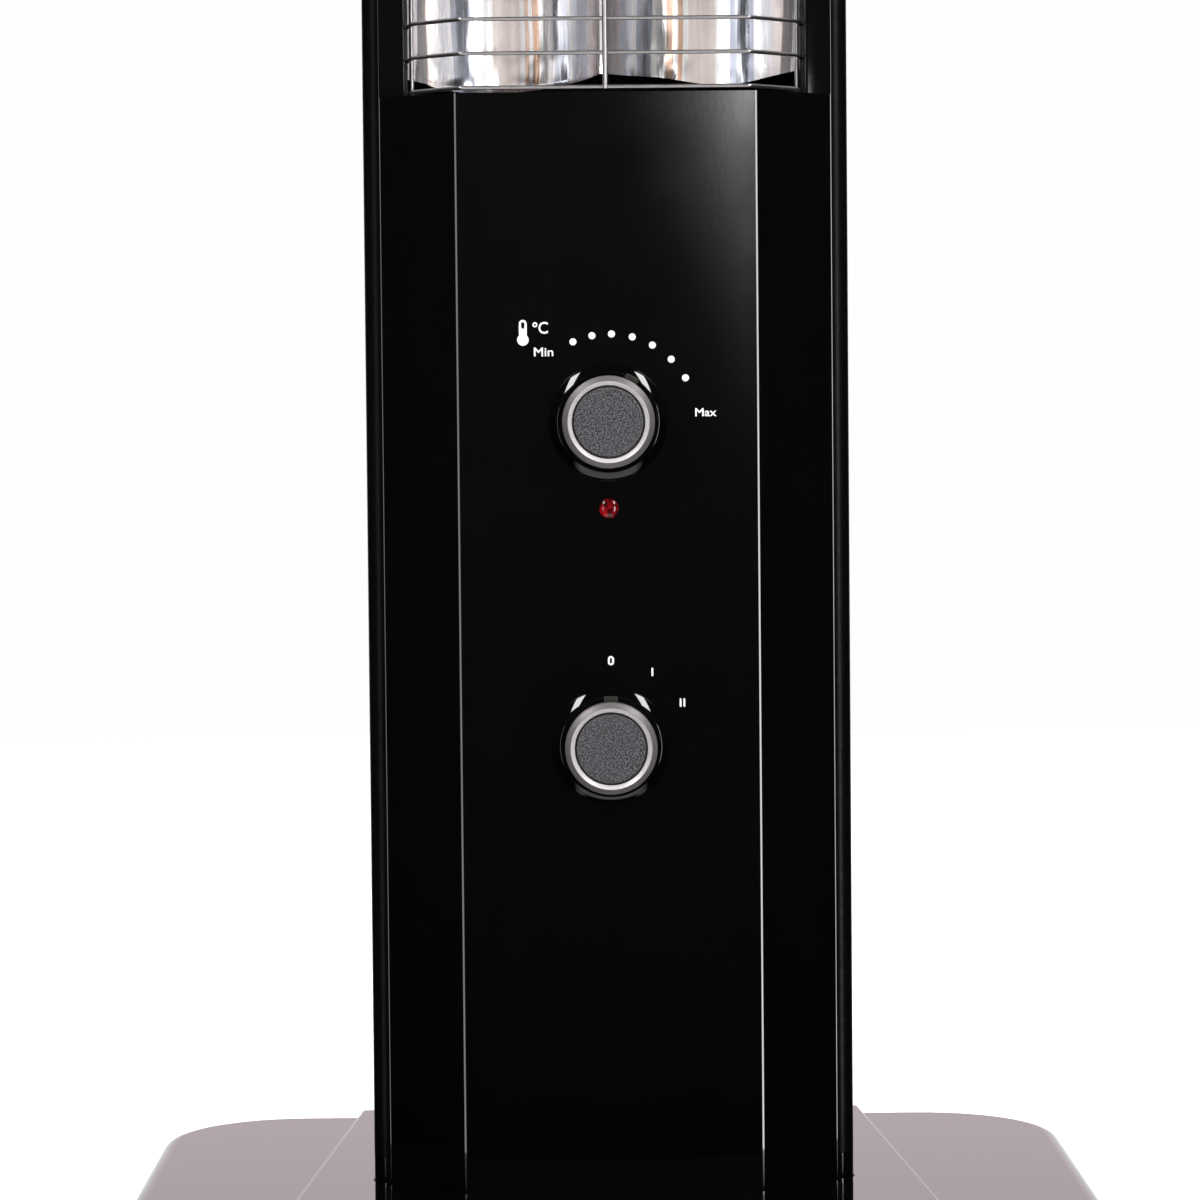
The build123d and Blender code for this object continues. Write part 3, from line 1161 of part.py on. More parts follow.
# Sheet clips that carry the ceramic ends on the reflector
with BuildPart() as tube_clips:
    back_y = TUBE_Y + CERAMIC_DEPTH / 2
    seat_y = REFLECTOR_Y + TROUGH_DEPTH - CLIP_SEAT
    for centre_z in (low_end_z + CERAMIC_HEIGHT / 2, high_end_z + CERAMIC_HEIGHT / 2):
        with BuildSketch(Plane.YZ.offset(-TUBE_X - CLIP_WIDTH / 2)):
            with Locations((back_y + CLIP_WALL / 2, centre_z), (seat_y - CLIP_WALL / 2, centre_z)):
                Rectangle(CLIP_WALL, CLIP_HEIGHT)
            with Locations(((back_y + seat_y) / 2, centre_z)):
                Rectangle(seat_y - back_y, CLIP_WALL)
        extrude(amount=CLIP_WIDTH)
    mirror(about=Plane.YZ)
save(tube_clips.part, "tube_clips")

# Thermal cut-out on the back of the heat shield
with BuildPart() as thermal_cutout:
    with BuildSketch(front_plane(SHIELD_BACK_Y)):
        with Locations((0, CUTOUT_Z)):
            Circle(CUTOUT_RADIUS)
    extrude(amount=-CUTOUT_HEIGHT)
    with BuildSketch(front_plane(SHIELD_BACK_Y)):
        with Locations((0, CUTOUT_Z)):
            Rectangle(CUTOUT_EAR_WIDTH, CUTOUT_EAR_HEIGHT)
    extrude(amount=-CUTOUT_EAR_WALL)
save(thermal_cutout.part, "thermal_cutout")

# Terminal block on the back wall, with open wells above
with BuildPart() as terminal_block:
    with BuildSketch(Plane.XY.offset(TERMINAL_Z)):
        with Locations((0, SHELL_INSIDE_Y - TERMINAL_DEPTH / 2)):
            Rectangle(TERMINAL_WIDTH, TERMINAL_DEPTH)
    extrude(amount=TERMINAL_HEIGHT)
    with BuildSketch(Plane.XY.offset(TERMINAL_Z + TERMINAL_HEIGHT)):
        with Locations((0, SHELL_INSIDE_Y - TERMINAL_DEPTH / 2)):
            with GridLocations(TERMINAL_WIDTH / TERMINAL_WELLS, 1, TERMINAL_WELLS, 1):
                Rectangle(TERMINAL_WELL_WIDTH, TERMINAL_WELL_WIDTH)
    extrude(amount=-TERMINAL_WELL_DEPTH, mode=Mode.SUBTRACT)
save(terminal_block.part, "terminal_block")

# Inlet gland through the back wall
with BuildPart() as cord_gland:
    with BuildSketch(Plane(origin=(0, BACK_Y, GLAND_Z), x_dir=(1, 0, 0), z_dir=(0, 0, 1))):
        with BuildLine():
            Polyline(
                (GLAND_BORE_RADIUS, GLAND_FLANGE_WALL),
                (GLAND_FLANGE_RADIUS, GLAND_FLANGE_WALL),
                (GLAND_FLANGE_RADIUS, 0),
                (GLAND_BODY_RADIUS, 0),
                (GLAND_BODY_RADIUS, -SHELL_WALL),
                (GLAND_INNER_RADIUS, -SHELL_WALL),
                (GLAND_BODY_RADIUS, GLAND_FLANGE_WALL - GLAND_LENGTH),
                (GLAND_BORE_RADIUS, GLAND_FLANGE_WALL - GLAND_LENGTH),
                close=True,
            )
        make_face()
    revolve(axis=Axis((0, BACK_Y, GLAND_Z), (0, 1, 0)))
save(cord_gland.part, "cord_gland")
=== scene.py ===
import json
import math

import bmesh
import bpy
from mathutils import Matrix, Vector, noise


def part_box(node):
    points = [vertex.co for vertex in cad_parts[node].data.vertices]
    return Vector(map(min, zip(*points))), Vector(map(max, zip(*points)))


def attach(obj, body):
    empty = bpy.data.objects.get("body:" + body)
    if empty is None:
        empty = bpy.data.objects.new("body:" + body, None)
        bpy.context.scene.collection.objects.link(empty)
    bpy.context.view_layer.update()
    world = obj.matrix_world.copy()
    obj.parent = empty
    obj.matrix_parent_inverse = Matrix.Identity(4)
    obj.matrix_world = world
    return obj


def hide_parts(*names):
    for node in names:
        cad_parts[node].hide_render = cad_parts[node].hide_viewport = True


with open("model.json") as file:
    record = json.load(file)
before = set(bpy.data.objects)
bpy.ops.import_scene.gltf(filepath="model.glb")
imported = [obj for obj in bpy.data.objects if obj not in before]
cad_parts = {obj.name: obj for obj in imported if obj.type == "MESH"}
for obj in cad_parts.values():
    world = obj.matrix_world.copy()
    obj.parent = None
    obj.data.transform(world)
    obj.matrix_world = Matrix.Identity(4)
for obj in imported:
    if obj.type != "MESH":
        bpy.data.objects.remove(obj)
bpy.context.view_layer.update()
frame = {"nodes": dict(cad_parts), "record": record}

# Tower radiant heater, dressed over its frame. Metres, +Z up, the front faces -Y.
MM = 0.001


# Places and sizes taken from the frame
def middle_z(node):
    """Height of the middle of a node's box."""
    low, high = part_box(node)
    return (low[2] + high[2]) / 2


(_, FACE_Y, SEAM_Z), (COVER_X, _, SILL_Z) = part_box("front_panel")
(_, RIM_Y, _), (_, RETURN_Y, TOP_SEAM_Z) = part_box("window_frame")
(_, SHOULDER_Y, _), (SHELL_X, BACK_Y, _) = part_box("rear_shell")
(_, _, RIM_Z), (BASE_X, BASE_Y, SADDLE_TOP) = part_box("base_shell")
_, (FLANGE_X, _, REFLECTOR_HIGH_Z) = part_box("reflector")
COLUMN_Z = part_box("bottom_cap")[0][2]
COLUMN_TOP_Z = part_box("top_cap")[1][2]
THERMOSTAT_Z = middle_z("thermostat_insert")
POWER_Z = middle_z("power_insert")
LAMP_Z = middle_z("lamp_lens")
GLAND_Z = middle_z("cord_gland")

# Column
FACE_X = 60.0 * MM
RIM_ROUND = 0.15 * MM
RIM_TILT = math.radians(17.5)
RIM_FLAT = Vector((math.cos(RIM_TILT), math.sin(RIM_TILT))) * 0.38 * MM
FACE_BEVEL = 0.42 * MM
FACE_ROUND = 0.35 * MM
SHOULDER_ROUND = 6.5 * MM
BACK_ROUND = 26.0 * MM
LIP_X = COVER_X - 3.0 * MM
COVER_WALL = 2.5 * MM
SHELL_WALL = 2.0 * MM
EDGE = 0.5 * MM
SHELL_EDGE = 0.35 * MM
CAP_CORNER = 37.0 * MM
CAP_BROW = 20.0 * MM
CAP_WALL = 3.0 * MM
CAP_LEVELS = 18

# Reflector window and guard
WINDOW_X = 81.0 * MM
WINDOW_SILL = 1.2 * MM
WINDOW_TOP_BAND = 12.0 * MM
WINDOW_CORNER = 5.0 * MM
WINDOW_EDGE = 1.0 * MM
RETURN_WALL = 2.0 * MM
WIRE_RADIUS = 0.8 * MM
WIRE_PITCH = 13.6 * MM
WIRE_COUNT = 30
WIRE_ROUND = 2.2 * MM
WIRE_LOW_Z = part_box("guard_uprights")[0][2] + WIRE_RADIUS
WIRE_Y = FACE_Y + 1.0 * MM
WIRE_BENDS = ((80.2 * MM, 36.0 * MM), (77.4 * MM, 19.0 * MM), (57.5 * MM, 0.0))
UPRIGHT_RADIUS = 1.1 * MM
SIDE_ROD_RADIUS = 0.9 * MM
SIDE_ROD_X = 78.33 * MM
SIDE_ROD_Y = -28.9 * MM

# Reflector: the bands are painted reflections and painted shade on the sheet, as middle, half width and
# colour; SHEET_EDGE is place and height, in millimetres
REFLECTOR_X = 79.8 * MM
TROUGH_DEPTH = 38.0 * MM
RIDGE_X = 1.5 * MM
RIDGE_DEPTH = 7.0 * MM
# Colours painted on the reflector sheet: the first four stand for reflections, the last for shade near the
# sheet's sides
COOL_REFLECTION = (0.42, 0.45, 0.53)
WARM_REFLECTION = (0.74, 0.63, 0.59)
COPPER_REFLECTION = (0.6, 0.38, 0.26)
PALE_REFLECTION = (0.66, 0.69, 0.76)
EDGE_SHADE = (0.12, 0.12, 0.12)
PAINTED_REFLECTION_BANDS = (
    (9.0, 3.6, PALE_REFLECTION), (17.5, 2.8, COOL_REFLECTION), (28.0, 1.3, COPPER_REFLECTION), (32.3, 0.8, COPPER_REFLECTION),
    (41.0, 5.5, WARM_REFLECTION), (58.0, 5.0, COOL_REFLECTION), (76.5, 1.8, EDGE_SHADE),
)
BAND_SOFT = 0.35 * MM
SHEET_EDGE = ((-80.0, 500.5), (-57.0, 499.3), (18.0, 503.7), (51.0, 500.3), (80.0, 503.5))
SHEET_WALL = 0.5 * MM
SHEET_ROWS = 100
SHEET_CROWD = 1.6
LIP_FALL = 2.2 * MM
LIP_START_X = -74.0 * MM
LIP_WIDTH = 70.0 * MM
LIP_LEAN = 0.9

# Wrinkles of the sheet: waves to the metre across and upward, layer of the noise, depth
WAVE = (60.0, 25.0, 0.3, 0.8 * MM)
DENT = (95.0, 60.0, 4.4, 0.5 * MM)
CRUMPLE = (190.0, 130.0, 7.1, 1.5 * MM)
CRUMPLE_HEIGHT = 12.0 * MM
CRUMPLE_X = -78.0 * MM
CRUMPLE_WIDTH = 5.0 * MM
WRINKLE_FORWARD = 0.6 * MM
FIRM_DEPTH = 8.0 * MM

# Base
BASE_CORNER = 62.0 * MM
BASE_ROUND = 8.0 * MM
WING_LIFT = 1.5 * MM
BASE_WALL = 3.0 * MM
BASE_EDGE = 0.6 * MM
BASE_STEPS = 12
SADDLE_RISE = 3.5 * MM
WING_TOP = SADDLE_TOP - SADDLE_RISE + WING_LIFT
SADDLE_STEP = 4.0 * MM
STEP_POINTS = 9
SADDLE_BACK_X = 114.0 * MM
SADDLE_SPREAD = 16.0 / 215.0
BASE_DRAFT = math.radians(4.0)
CREASE_HIGHLIGHT_SHARES = (0.6, 0.8)
POCKET_FIT = 0.4 * MM
POCKET_WALL = 3.0 * MM

# Controls: radii and rises above the raised face
SPINDLE_HOLE = 4.5 * MM
LENS_RADIUS = 4.0 * MM
LENS_HOLE = LENS_RADIUS + 0.1 * MM
LENS_DOME = 2.0 * MM
LENS_SWELL = 0.8
LENS_RIM = 6.0 * MM
LENS_RIM_TOP = -2.5 * MM
LENS_BACK = -3.7 * MM
COLLAR_FOOT = (23.7 * MM, 0.3 * MM)
COLLAR_CREST = (20.2 * MM, 2.6 * MM)
COLLAR_BORE = 19.4 * MM
COLLAR_LIP = 0.6 * MM
COLLAR_SWELL = 12.0 * MM
KNOB_RADIUS = 17.8 * MM
KNOB_WALL = 1.6 * MM
KNOB_FACE = 13.4 * MM
KNOB_FOOT = 0.8 * MM
GROOVE_INNER = 13.8 * MM
GROOVE_OUTER = 14.7 * MM
GROOVE_DEPTH = 1.1 * MM
HUB_RADIUS = 5.5 * MM
HUB_FOOT = 1.2 * MM
RING_RADIUS = 18.4 * MM
RING_FOOT = 8.6 * MM
RING_SHOULDER = 13.2 * MM
RING_CREST = (16.3 * MM, 15.2 * MM)
RING_BORE = 14.6 * MM
RING_LIP = 13.6 * MM
RING_ROUNDS = (0.15 * MM, 0.9 * MM, 0.25 * MM)
DISC_RADIUS = 13.75 * MM
DISC_FLAT = 12.0 * MM
DISC_FACE = 14.4 * MM
DISC_DISH = 0.15 * MM
DISC_ROUND = 0.4 * MM
POINTER_REACH = 20.6 * MM
POINTER_HALF = 2.8 * MM
POINTER_FACE = 11.0 * MM
POINTER_ROUND = 0.8 * MM
POINTER_EDGE = 0.3 * MM
REST_TURNS = {"thermostat": 29.0, "power": 0.0}

# Heating tubes
TUBE_RADIUS = 5.0 * MM
TUBE_WALL = 1.0 * MM

# Marks: thicknesses, then places counted from the dials' centres
PRINT_RISE = 0.05 * MM
OUTLINE_RISE = 0.07 * MM
PRINT_SINK = 0.02 * MM
LETTER_RISE = 0.04 * MM
LETTER_WEIGHT = 0.01
BULB = (-33.75 * MM, 33.0 * MM)
BULB_RADIUS = 2.3 * MM
STEM_SIZE = (3.15 * MM, 7.0 * MM)
STEM_RISE = 4.5 * MM
STEM_GAP = (1.35 * MM, 2.7 * MM)
STEM_GAP_RISE = 5.75 * MM
DOT_TURNS = (-24.0, -11.0, 1.8, 15.5, 29.7, 45.1, 60.4)
DOT_RADIUS = 1.4 * MM
DOT_REACH = 35.1 * MM
DOT_SHIFT = 0.5 * MM
WORDS = (("Min", -29.4, -21.7, 26.4, 29.9), ("Max", 34.8, 43.3, 1.9, 5.2), ("C", -27.5, -23.7, 35.4, 40.1))
DEGREE = (-28.9 * MM, 39.0 * MM)
DEGREE_RADIUS = 1.0 * MM
DEGREE_BORE = 0.45 * MM
NOUGHT = (0.25 * MM, 34.3 * MM)
NOUGHT_SIZE = (2.45 * MM, 3.7 * MM)
NOUGHT_BORE = (0.95 * MM, 2.2 * MM)
BARS = ((16.8 * MM, 29.6 * MM), (28.0 * MM, 17.2 * MM), (29.5 * MM, 17.2 * MM))
BAR_SIZE = (0.75 * MM, 3.4 * MM)

# Back of the column
LOUVRE_X = 36.0 * MM
LOUVRE_WIDTH = 56.0 * MM
LOUVRE_HEIGHT = 4.0 * MM
LOUVRE_PITCH = 16.0 * MM
UPPER_LOUVRES = 16
LOWER_LOUVRES = 6
UPPER_LOUVRE_RISE = 90.0 * MM
LOWER_LOUVRE_RISE = 110.0 * MM
POST_X = 66.0 * MM
POST_LOW = 46.0 * MM
POST_HIGH = 45.0 * MM
POST_RADIUS = 5.0 * MM
POST_BORE = 3.8 * MM
POST_FLOOR_Y = 14.0 * MM
POST_END = 4.0 * MM
GLAND_HOLE = 8.2 * MM
HEAD_RADIUS = 3.2 * MM
HEAD_HEIGHT = 2.0 * MM
HEAD_SHAPE = ((0.0, 1.0), (0.55, 0.93), (0.88, 0.65), (1.0, 0.25), (1.0, 0.0))
SHANK_RADIUS = 1.6 * MM
SHANK_LENGTH = 12.0 * MM
CROSS_REACH = 1.9 * MM
CROSS_HALF = 0.35 * MM
CROSS_FLOOR = 0.9 * MM

ARC_STEP = math.radians(7.5)
SHARP_ANGLE = math.radians(50)
BEVEL_ANGLE = math.radians(40)
FRONT = Vector((0, -1, 0))
BACK = Vector((0, 1, 0))
UP = Vector((0, 0, 1))


# Lines
def quarter(steps):
    """Angles from nought to a right angle."""
    return [math.pi / 2 * step / steps for step in range(steps + 1)]


def turns(steps):
    """Angles once round."""
    return [math.tau * step / steps for step in range(steps)]


def rounded(corners, radii):
    """Flat line through the corners, with an arc of its own radius at each inner corner."""
    line = [Vector(corners[0])]
    for before, point, after, radius in zip(corners, corners[1:], corners[2:], radii):
        point = Vector(point)
        if radius == 0:
            line.append(point)
            continue
        back = (Vector(before) - point).normalized()
        ahead = (Vector(after) - point).normalized()
        half = back.angle(ahead) / 2
        centre = point + (back + ahead).normalized() * radius / math.sin(half)
        arm = point + back * radius / math.tan(half) - centre
        end = point + ahead * radius / math.tan(half) - centre
        sweep = math.atan2(arm.cross(end), arm.dot(end))
        steps = max(3, round(abs(sweep) / ARC_STEP))
        for step in range(steps + 1):
            line.append(centre + Matrix.Rotation(sweep * step / steps, 2) @ arm)
    line.append(Vector(corners[-1]))
    return line


def grown(line, amount):
    """Closed line, drawn anticlockwise, moved outward by amount."""
    moved = []
    for before, point, after in zip(line[-1:] + line[:-1], line, line[1:] + line[:1]):
        first = (point - before).normalized()
        second = (after - point).normalized()
        outward = Vector((first.y + second.y, -first.x - second.x)).normalized()
        reach = outward.dot(Vector((first.y, -first.x)))
        moved.append(point + outward * amount / max(reach, 0.3))
    return moved


def circle(radius, x, z):
    """Closed flat circle."""
    return [Vector((x + radius * math.cos(a), z + radius * math.sin(a))) for a in turns(32)]


def slot_line(width, height, x, z):
    """Closed flat slot with round ends."""
    radius = height / 2
    line = []
    for side in (1, -1):
        for step in range(9):
            angle = math.radians(-90 + 180 * step / 8)
            arm = Vector((width / 2 - radius + radius * math.cos(angle), radius * math.sin(angle)))
            line.append(Vector((x, z)) + side * arm)
    return line


def lying(line, z):
    """Plan line set at height z."""
    return [Vector((point.x, point.y, z)) for point in line]


def standing(line, y):
    """Line of x and z set at depth y."""
    return [Vector((point.x, y, point.y)) for point in line]


def arc_through(start, between, end, steps):
    """Points on the arc from start to end that passes the point between."""
    a, b, c = Vector(start), Vector(between), Vector(end)
    scale = 2 * (a.x * (b.y - c.y) + b.x * (c.y - a.y) + c.x * (a.y - b.y))
    squares = a.length_squared, b.length_squared, c.length_squared
    centre = Vector((
        (squares[0] * (b.y - c.y) + squares[1] * (c.y - a.y) + squares[2] * (a.y - b.y)) / scale,
        (squares[0] * (c.x - b.x) + squares[1] * (a.x - c.x) + squares[2] * (b.x - a.x)) / scale,
    ))
    arm = a - centre
    to_between = math.atan2(arm.cross(b - centre), arm.dot(b - centre))
    sweep = math.atan2(arm.cross(c - centre), arm.dot(c - centre))
    if sweep * to_between < 0:
        sweep += math.copysign(math.tau, to_between)
    return [centre + Matrix.Rotation(sweep * step / steps, 2) @ arm for step in range(steps + 1)]


def front_corners(rim_bevel=True):
    """Corners of the front covers in plan with their radii: narrow bevels beside the face and at the rim."""
    slope = Vector((FACE_X - COVER_X, FACE_Y - RIM_Y)).normalized() * FACE_BEVEL
    bevel = ((COVER_X - RIM_FLAT.x, RIM_Y - RIM_FLAT.y),) if rim_bevel else ()
    half = (
        (COVER_X, SHOULDER_Y), (COVER_X, RIM_Y), *bevel,
        (FACE_X - slope.x, FACE_Y - slope.y), (FACE_X - FACE_BEVEL, FACE_Y),
    )
    edges = (RIM_ROUND,) * (len(half) - 3)
    corners = [(-x, y) for x, y in half] + list(reversed(half))
    return corners, (*edges, FACE_ROUND, FACE_ROUND, FACE_ROUND, FACE_ROUND, *edges)


def shell_line():
    """Rear shell in plan, from lip to lip round the back."""
    corners = (
        (-LIP_X, SHOULDER_Y), (-SHELL_X, SHOULDER_Y), (-SHELL_X, BACK_Y),
        (SHELL_X, BACK_Y), (SHELL_X, SHOULDER_Y), (LIP_X, SHOULDER_Y),
    )
    return rounded(corners, (SHOULDER_ROUND, BACK_ROUND, BACK_ROUND, SHOULDER_ROUND))


def column_line(rim_bevel=True):
    """Whole column in plan, closed and anticlockwise."""
    corners, cover = front_corners(rim_bevel)
    corners += [(SHELL_X, SHOULDER_Y), (SHELL_X, BACK_Y), (-SHELL_X, BACK_Y)]
    corners += [(-SHELL_X, SHOULDER_Y), (-COVER_X, SHOULDER_Y)]
    shell = (SHOULDER_ROUND, BACK_ROUND, BACK_ROUND, SHOULDER_ROUND)
    return rounded(corners, (*cover, 0, *shell))[:-1]


# Meshes
def placed(name, data):
    """New object in the scene with this data."""
    thing = bpy.data.objects.new(name, data)
    bpy.context.scene.collection.objects.link(thing)
    return thing


def new_piece(name, points, faces):
    """Mesh object from points and faces."""
    mesh = bpy.data.meshes.new(name)
    mesh.from_pydata([tuple(point) for point in points], [], faces)
    return placed(name, mesh)


def loft(name, loops, closed=True, start_face=False, end_face=False):
    """Skin over loops of equally many points."""
    count = len(loops[0])
    points = [point for loop in loops for point in loop]
    faces = []
    for row in range(len(loops) - 1):
        for i in range(count if closed else count - 1):
            j = (i + 1) % count
            low = row * count
            faces.append((low + i, low + j, low + count + j, low + count + i))
    if start_face:
        faces.append(tuple(range(count)))
    if end_face:
        faces.append(tuple(range(len(points) - count, len(points))))
    return new_piece(name, points, faces)


def prism(name, loop, other):
    """Closed solid between two flat loops."""
    return loft(name, [loop, other], start_face=True, end_face=True)


def lathe(name, profile, centre, ahead, steps):
    """Skin turned about an axis from pairs of radius and rise along it."""
    right = ahead.orthogonal().normalized()
    up = ahead.cross(right)
    arms = [right * math.cos(a) + up * math.sin(a) for a in turns(steps)]
    return loft(name, [[centre + ahead * rise + arm * radius for arm in arms] for radius, rise in profile])


def tube(name, path, radius, normal, sides=12):
    """Round bar along a flat path whose plane has this normal."""
    loops = []
    for before, point, after in zip(path[:1] + path[:-1], path, path[1:] + path[-1:]):
        side = (after - before).cross(normal).normalized()
        loops.append([point + (side * math.cos(a) + normal * math.sin(a)) * radius for a in turns(sides)])
    return loft(name, loops, start_face=True, end_face=True)


def join(name, pieces):
    """One piece made of several, which are deleted."""
    shape = bmesh.new()
    for piece in pieces:
        shape.from_mesh(piece.data)
        bpy.data.objects.remove(piece)
    mesh = bpy.data.meshes.new(name)
    shape.to_mesh(mesh)
    shape.free()
    return placed(name, mesh)


def mend(piece):
    """Merges points that coincide and turns every face outward."""
    shape = bmesh.new()
    shape.from_mesh(piece.data)
    bmesh.ops.remove_doubles(shape, verts=shape.verts, dist=1e-6)
    bmesh.ops.dissolve_degenerate(shape, edges=shape.edges, dist=1e-6)
    bmesh.ops.recalc_face_normals(shape, faces=shape.faces)
    shape.to_mesh(piece.data)
    shape.free()
    return piece


def bake(piece):
    """Turns the piece's modifiers into plain mesh."""
    bpy.context.view_layer.update()
    view = bpy.context.evaluated_depsgraph_get()
    mesh = bpy.data.meshes.new_from_object(piece.evaluated_get(view))
    piece.modifiers.clear()
    piece.data = mesh
    return piece


def thicken(piece, wall, edge=EDGE):
    """Gives a skin its wall on the inner side, with small roundings on sharp edges."""
    mend(piece)
    solidify = piece.modifiers.new("wall", "SOLIDIFY")
    solidify.thickness = wall
    solidify.offset = -1
    solidify.use_even_offset = True
    if edge:
        soften(piece, edge)
    return bake(piece)


def soften(piece, edge):
    """Adds a rounding to the piece's sharp edges."""
    bevel = piece.modifiers.new("edge", "BEVEL")
    bevel.width = edge
    bevel.segments = 2
    bevel.limit_method = "ANGLE"
    bevel.angle_limit = BEVEL_ANGLE
    return piece


def cut(piece, cutters):
    """Takes the cutters out of the piece and deletes them."""
    tool = mend(join("cutter", cutters))
    modifier = piece.modifiers.new("cut", "BOOLEAN")
    modifier.operation = "DIFFERENCE"
    modifier.solver = "EXACT"
    modifier.object = tool
    bake(piece)
    bpy.data.objects.remove(tool)
    return piece


def shade(piece):
    """Smooth shading that keeps sharp edges and flat faces."""
    piece.data.shade_smooth()
    piece.data.set_sharp_from_angle(angle=SHARP_ANGLE)
    weigh = piece.modifiers.new("normals", "WEIGHTED_NORMAL")
    weigh.keep_sharp = True
    return bake(piece)


def dress(piece, finish, *nodes, body="housing", slot=None):
    """Gives a piece its finish and its body and hides the nodes it stands for; the slot argument is not used.
    """
    slot = slot or finish
    shade(piece)
    piece.data.materials.clear()
    piece.data.materials.append(FINISH[finish])
    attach(piece, body)
    if nodes:
        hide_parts(*nodes)
    return piece


# Materials
def new_node(beside, kind):
    """New shader node in the tree of another node or of a socket."""
    return beside.id_data.nodes.new("ShaderNode" + kind)


def feed(node, **inputs):
    """Sets a node's inputs from sockets or plain values; a name's spaces are written as underscores."""
    for name, value in inputs.items():
        socket = node.inputs[name.replace("_", " ")]
        if isinstance(value, bpy.types.NodeSocket):
            node.id_data.links.new(value, socket)
        else:
            socket.default_value = value


def blank_material(name):
    """New node material with its shader and a coordinate of the object's own."""
    material = bpy.data.materials.new(name)
    material.use_nodes = True
    shader = material.node_tree.nodes["Principled BSDF"]
    return material, shader, new_node(shader, "TexCoord").outputs["Object"]


def stretched(place, scale):
    """Coordinate scaled by its own factor along each axis."""
    mapping = new_node(place, "Mapping")
    feed(mapping, Vector=place, Scale=scale)
    return mapping.outputs["Vector"]


def noise_value(place, scale, detail=3.0):
    """Noise between 0 and 1."""
    texture = new_node(place, "TexNoise")
    feed(texture, Vector=place, Scale=scale, Detail=detail)
    return texture.outputs["Fac"]


def ranged(value, low, high, from_low=0.3, from_high=0.7):
    """Value spread from one range to another."""
    spread = new_node(value, "MapRange")
    feed(spread, Value=value, From_Min=from_low, From_Max=from_high, To_Min=low, To_Max=high)
    return spread.outputs["Result"]


def mixed(factor, first, second):
    """Colour between two others, which are sockets or plain colours."""
    mix = new_node(factor, "Mix")
    mix.data_type = "RGBA"
    feed(mix, Factor=factor)
    for socket, colour in ((mix.inputs["A"], first), (mix.inputs["B"], second)):
        if isinstance(colour, tuple):
            socket.default_value = (*colour, 1.0)
        else:
            mix.id_data.links.new(colour, socket)
    return mix.outputs["Result"]


def bumped(shader, height, strength, distance):
    """Bump on the shader from a height."""
    bump = new_node(height, "Bump")
    feed(bump, Height=height, Strength=strength, Distance=distance)
    feed(shader, Normal=bump.outputs["Normal"])


def maths(kind, first, second=0.0):
    """Arithmetic node on a socket and a second socket or number."""
    node = new_node(first, "Math")
    node.operation = kind
    node.id_data.links.new(first, node.inputs[0])
    if isinstance(second, float):
        node.inputs[1].default_value = second
    else:
        node.id_data.links.new(second, node.inputs[1])
    return node.outputs[0]


def product(first, *others):
    """A socket multiplied by other sockets or numbers."""
    for other in others:
        first = maths("MULTIPLY", first, other)
    return first


def window(value, low, high, soft):
    """One between low and high, nought outside, with soft edges."""
    rise = ranged(value, 0.0, 1.0, low - soft, low)
    fall = ranged(value, 1.0, 0.0, high, high + soft)
    return product(rise, fall)


def grey(tone):
    """Colour with no hue."""
    return tone, tone, tone


def grained(name, dark, light, scale, rough, bump=0.0, sockets=None, stretch=(1, 1, 1)):
    """Material whose colour and roughness wander over a fine grain, with a bump in millimetres."""
    material, shader, place = blank_material(name)
    grain = noise_value(stretched(place, stretch), scale)
    feed(shader, Base_Color=mixed(grain, dark, light), Roughness=ranged(grain, *rough))
    if bump:
        bumped(shader, grain, 1.0, bump * MM)
    feed(shader, **(sockets or {}))
    return material


def gloss_material():
    """Black gloss paint with the faint mottle of a sprayed coat."""
    material, shader, place = blank_material("gloss_black")
    cloud = noise_value(place, 40.0)
    colour = mixed(cloud, (0.0005, 0.0005, 0.0006), (0.0011, 0.001, 0.0012))
    feed(shader, Base_Color=colour, Roughness=ranged(cloud, 0.035, 0.06), IOR=1.5)
    mottle = noise_value(stretched(place, (1.0, 1.0, 0.6)), 480.0, 2.0)
    bumped(shader, mottle, 1.0, 0.0016 * MM)
    return material


def reflector_material():
    """Bright rolled sheet with upright streaks. Its cool, warm and pale bands and the two copper lines in
    each trough are painted reflections, and a dark band near each side is painted shade.
    """
    material, shader, place = blank_material("reflector_bright")
    split = new_node(place, "SeparateXYZ")
    feed(split, Vector=place)
    wander = noise_value(stretched(place, (1.0, 1.0, 0.6)), 30.0, 1.0)
    side = maths("ABSOLUTE", split.outputs["X"])
    side = maths("ADD", side, ranged(wander, -1.2 * MM, 1.2 * MM))
    streaks = noise_value(stretched(place, (1.0, 0.3, 0.03)), 260.0, 4.0)
    tint = noise_value(stretched(place, (1.0, 0.2, 0.05)), 90.0, 2.0)
    metal = mixed(ranged(tint, 0.0, 1.0, 0.35, 0.65), (0.74, 0.72, 0.74), (0.97, 0.95, 0.94))
    # Each band paints a reflection into the sheet's colour; the outermost band paints shade.
    for middle_x, half, colour in PAINTED_REFLECTION_BANDS:
        painted_band = window(side, (middle_x - half) * MM, (middle_x + half) * MM, BAND_SOFT)
        metal = mixed(product(painted_band, ranged(streaks, 0.65, 1.0)), metal, colour)
    feed(shader, Base_Color=metal, Roughness=ranged(streaks, 0.18, 0.32), Metallic=1.0)
    bumped(shader, streaks, 0.6, 0.4 * MM)
    return material


def quartz_material():
    """Clear tube with a faint haze."""
    material, shader, place = blank_material("quartz")
    haze = noise_value(place, 90.0)
    colour = mixed(haze, (0.92, 0.94, 0.96), (1.0, 1.0, 1.0))
    feed(shader, Base_Color=colour, Roughness=ranged(haze, 0.03, 0.12), IOR=1.46)
    feed(shader, Transmission_Weight=1.0)
    return material


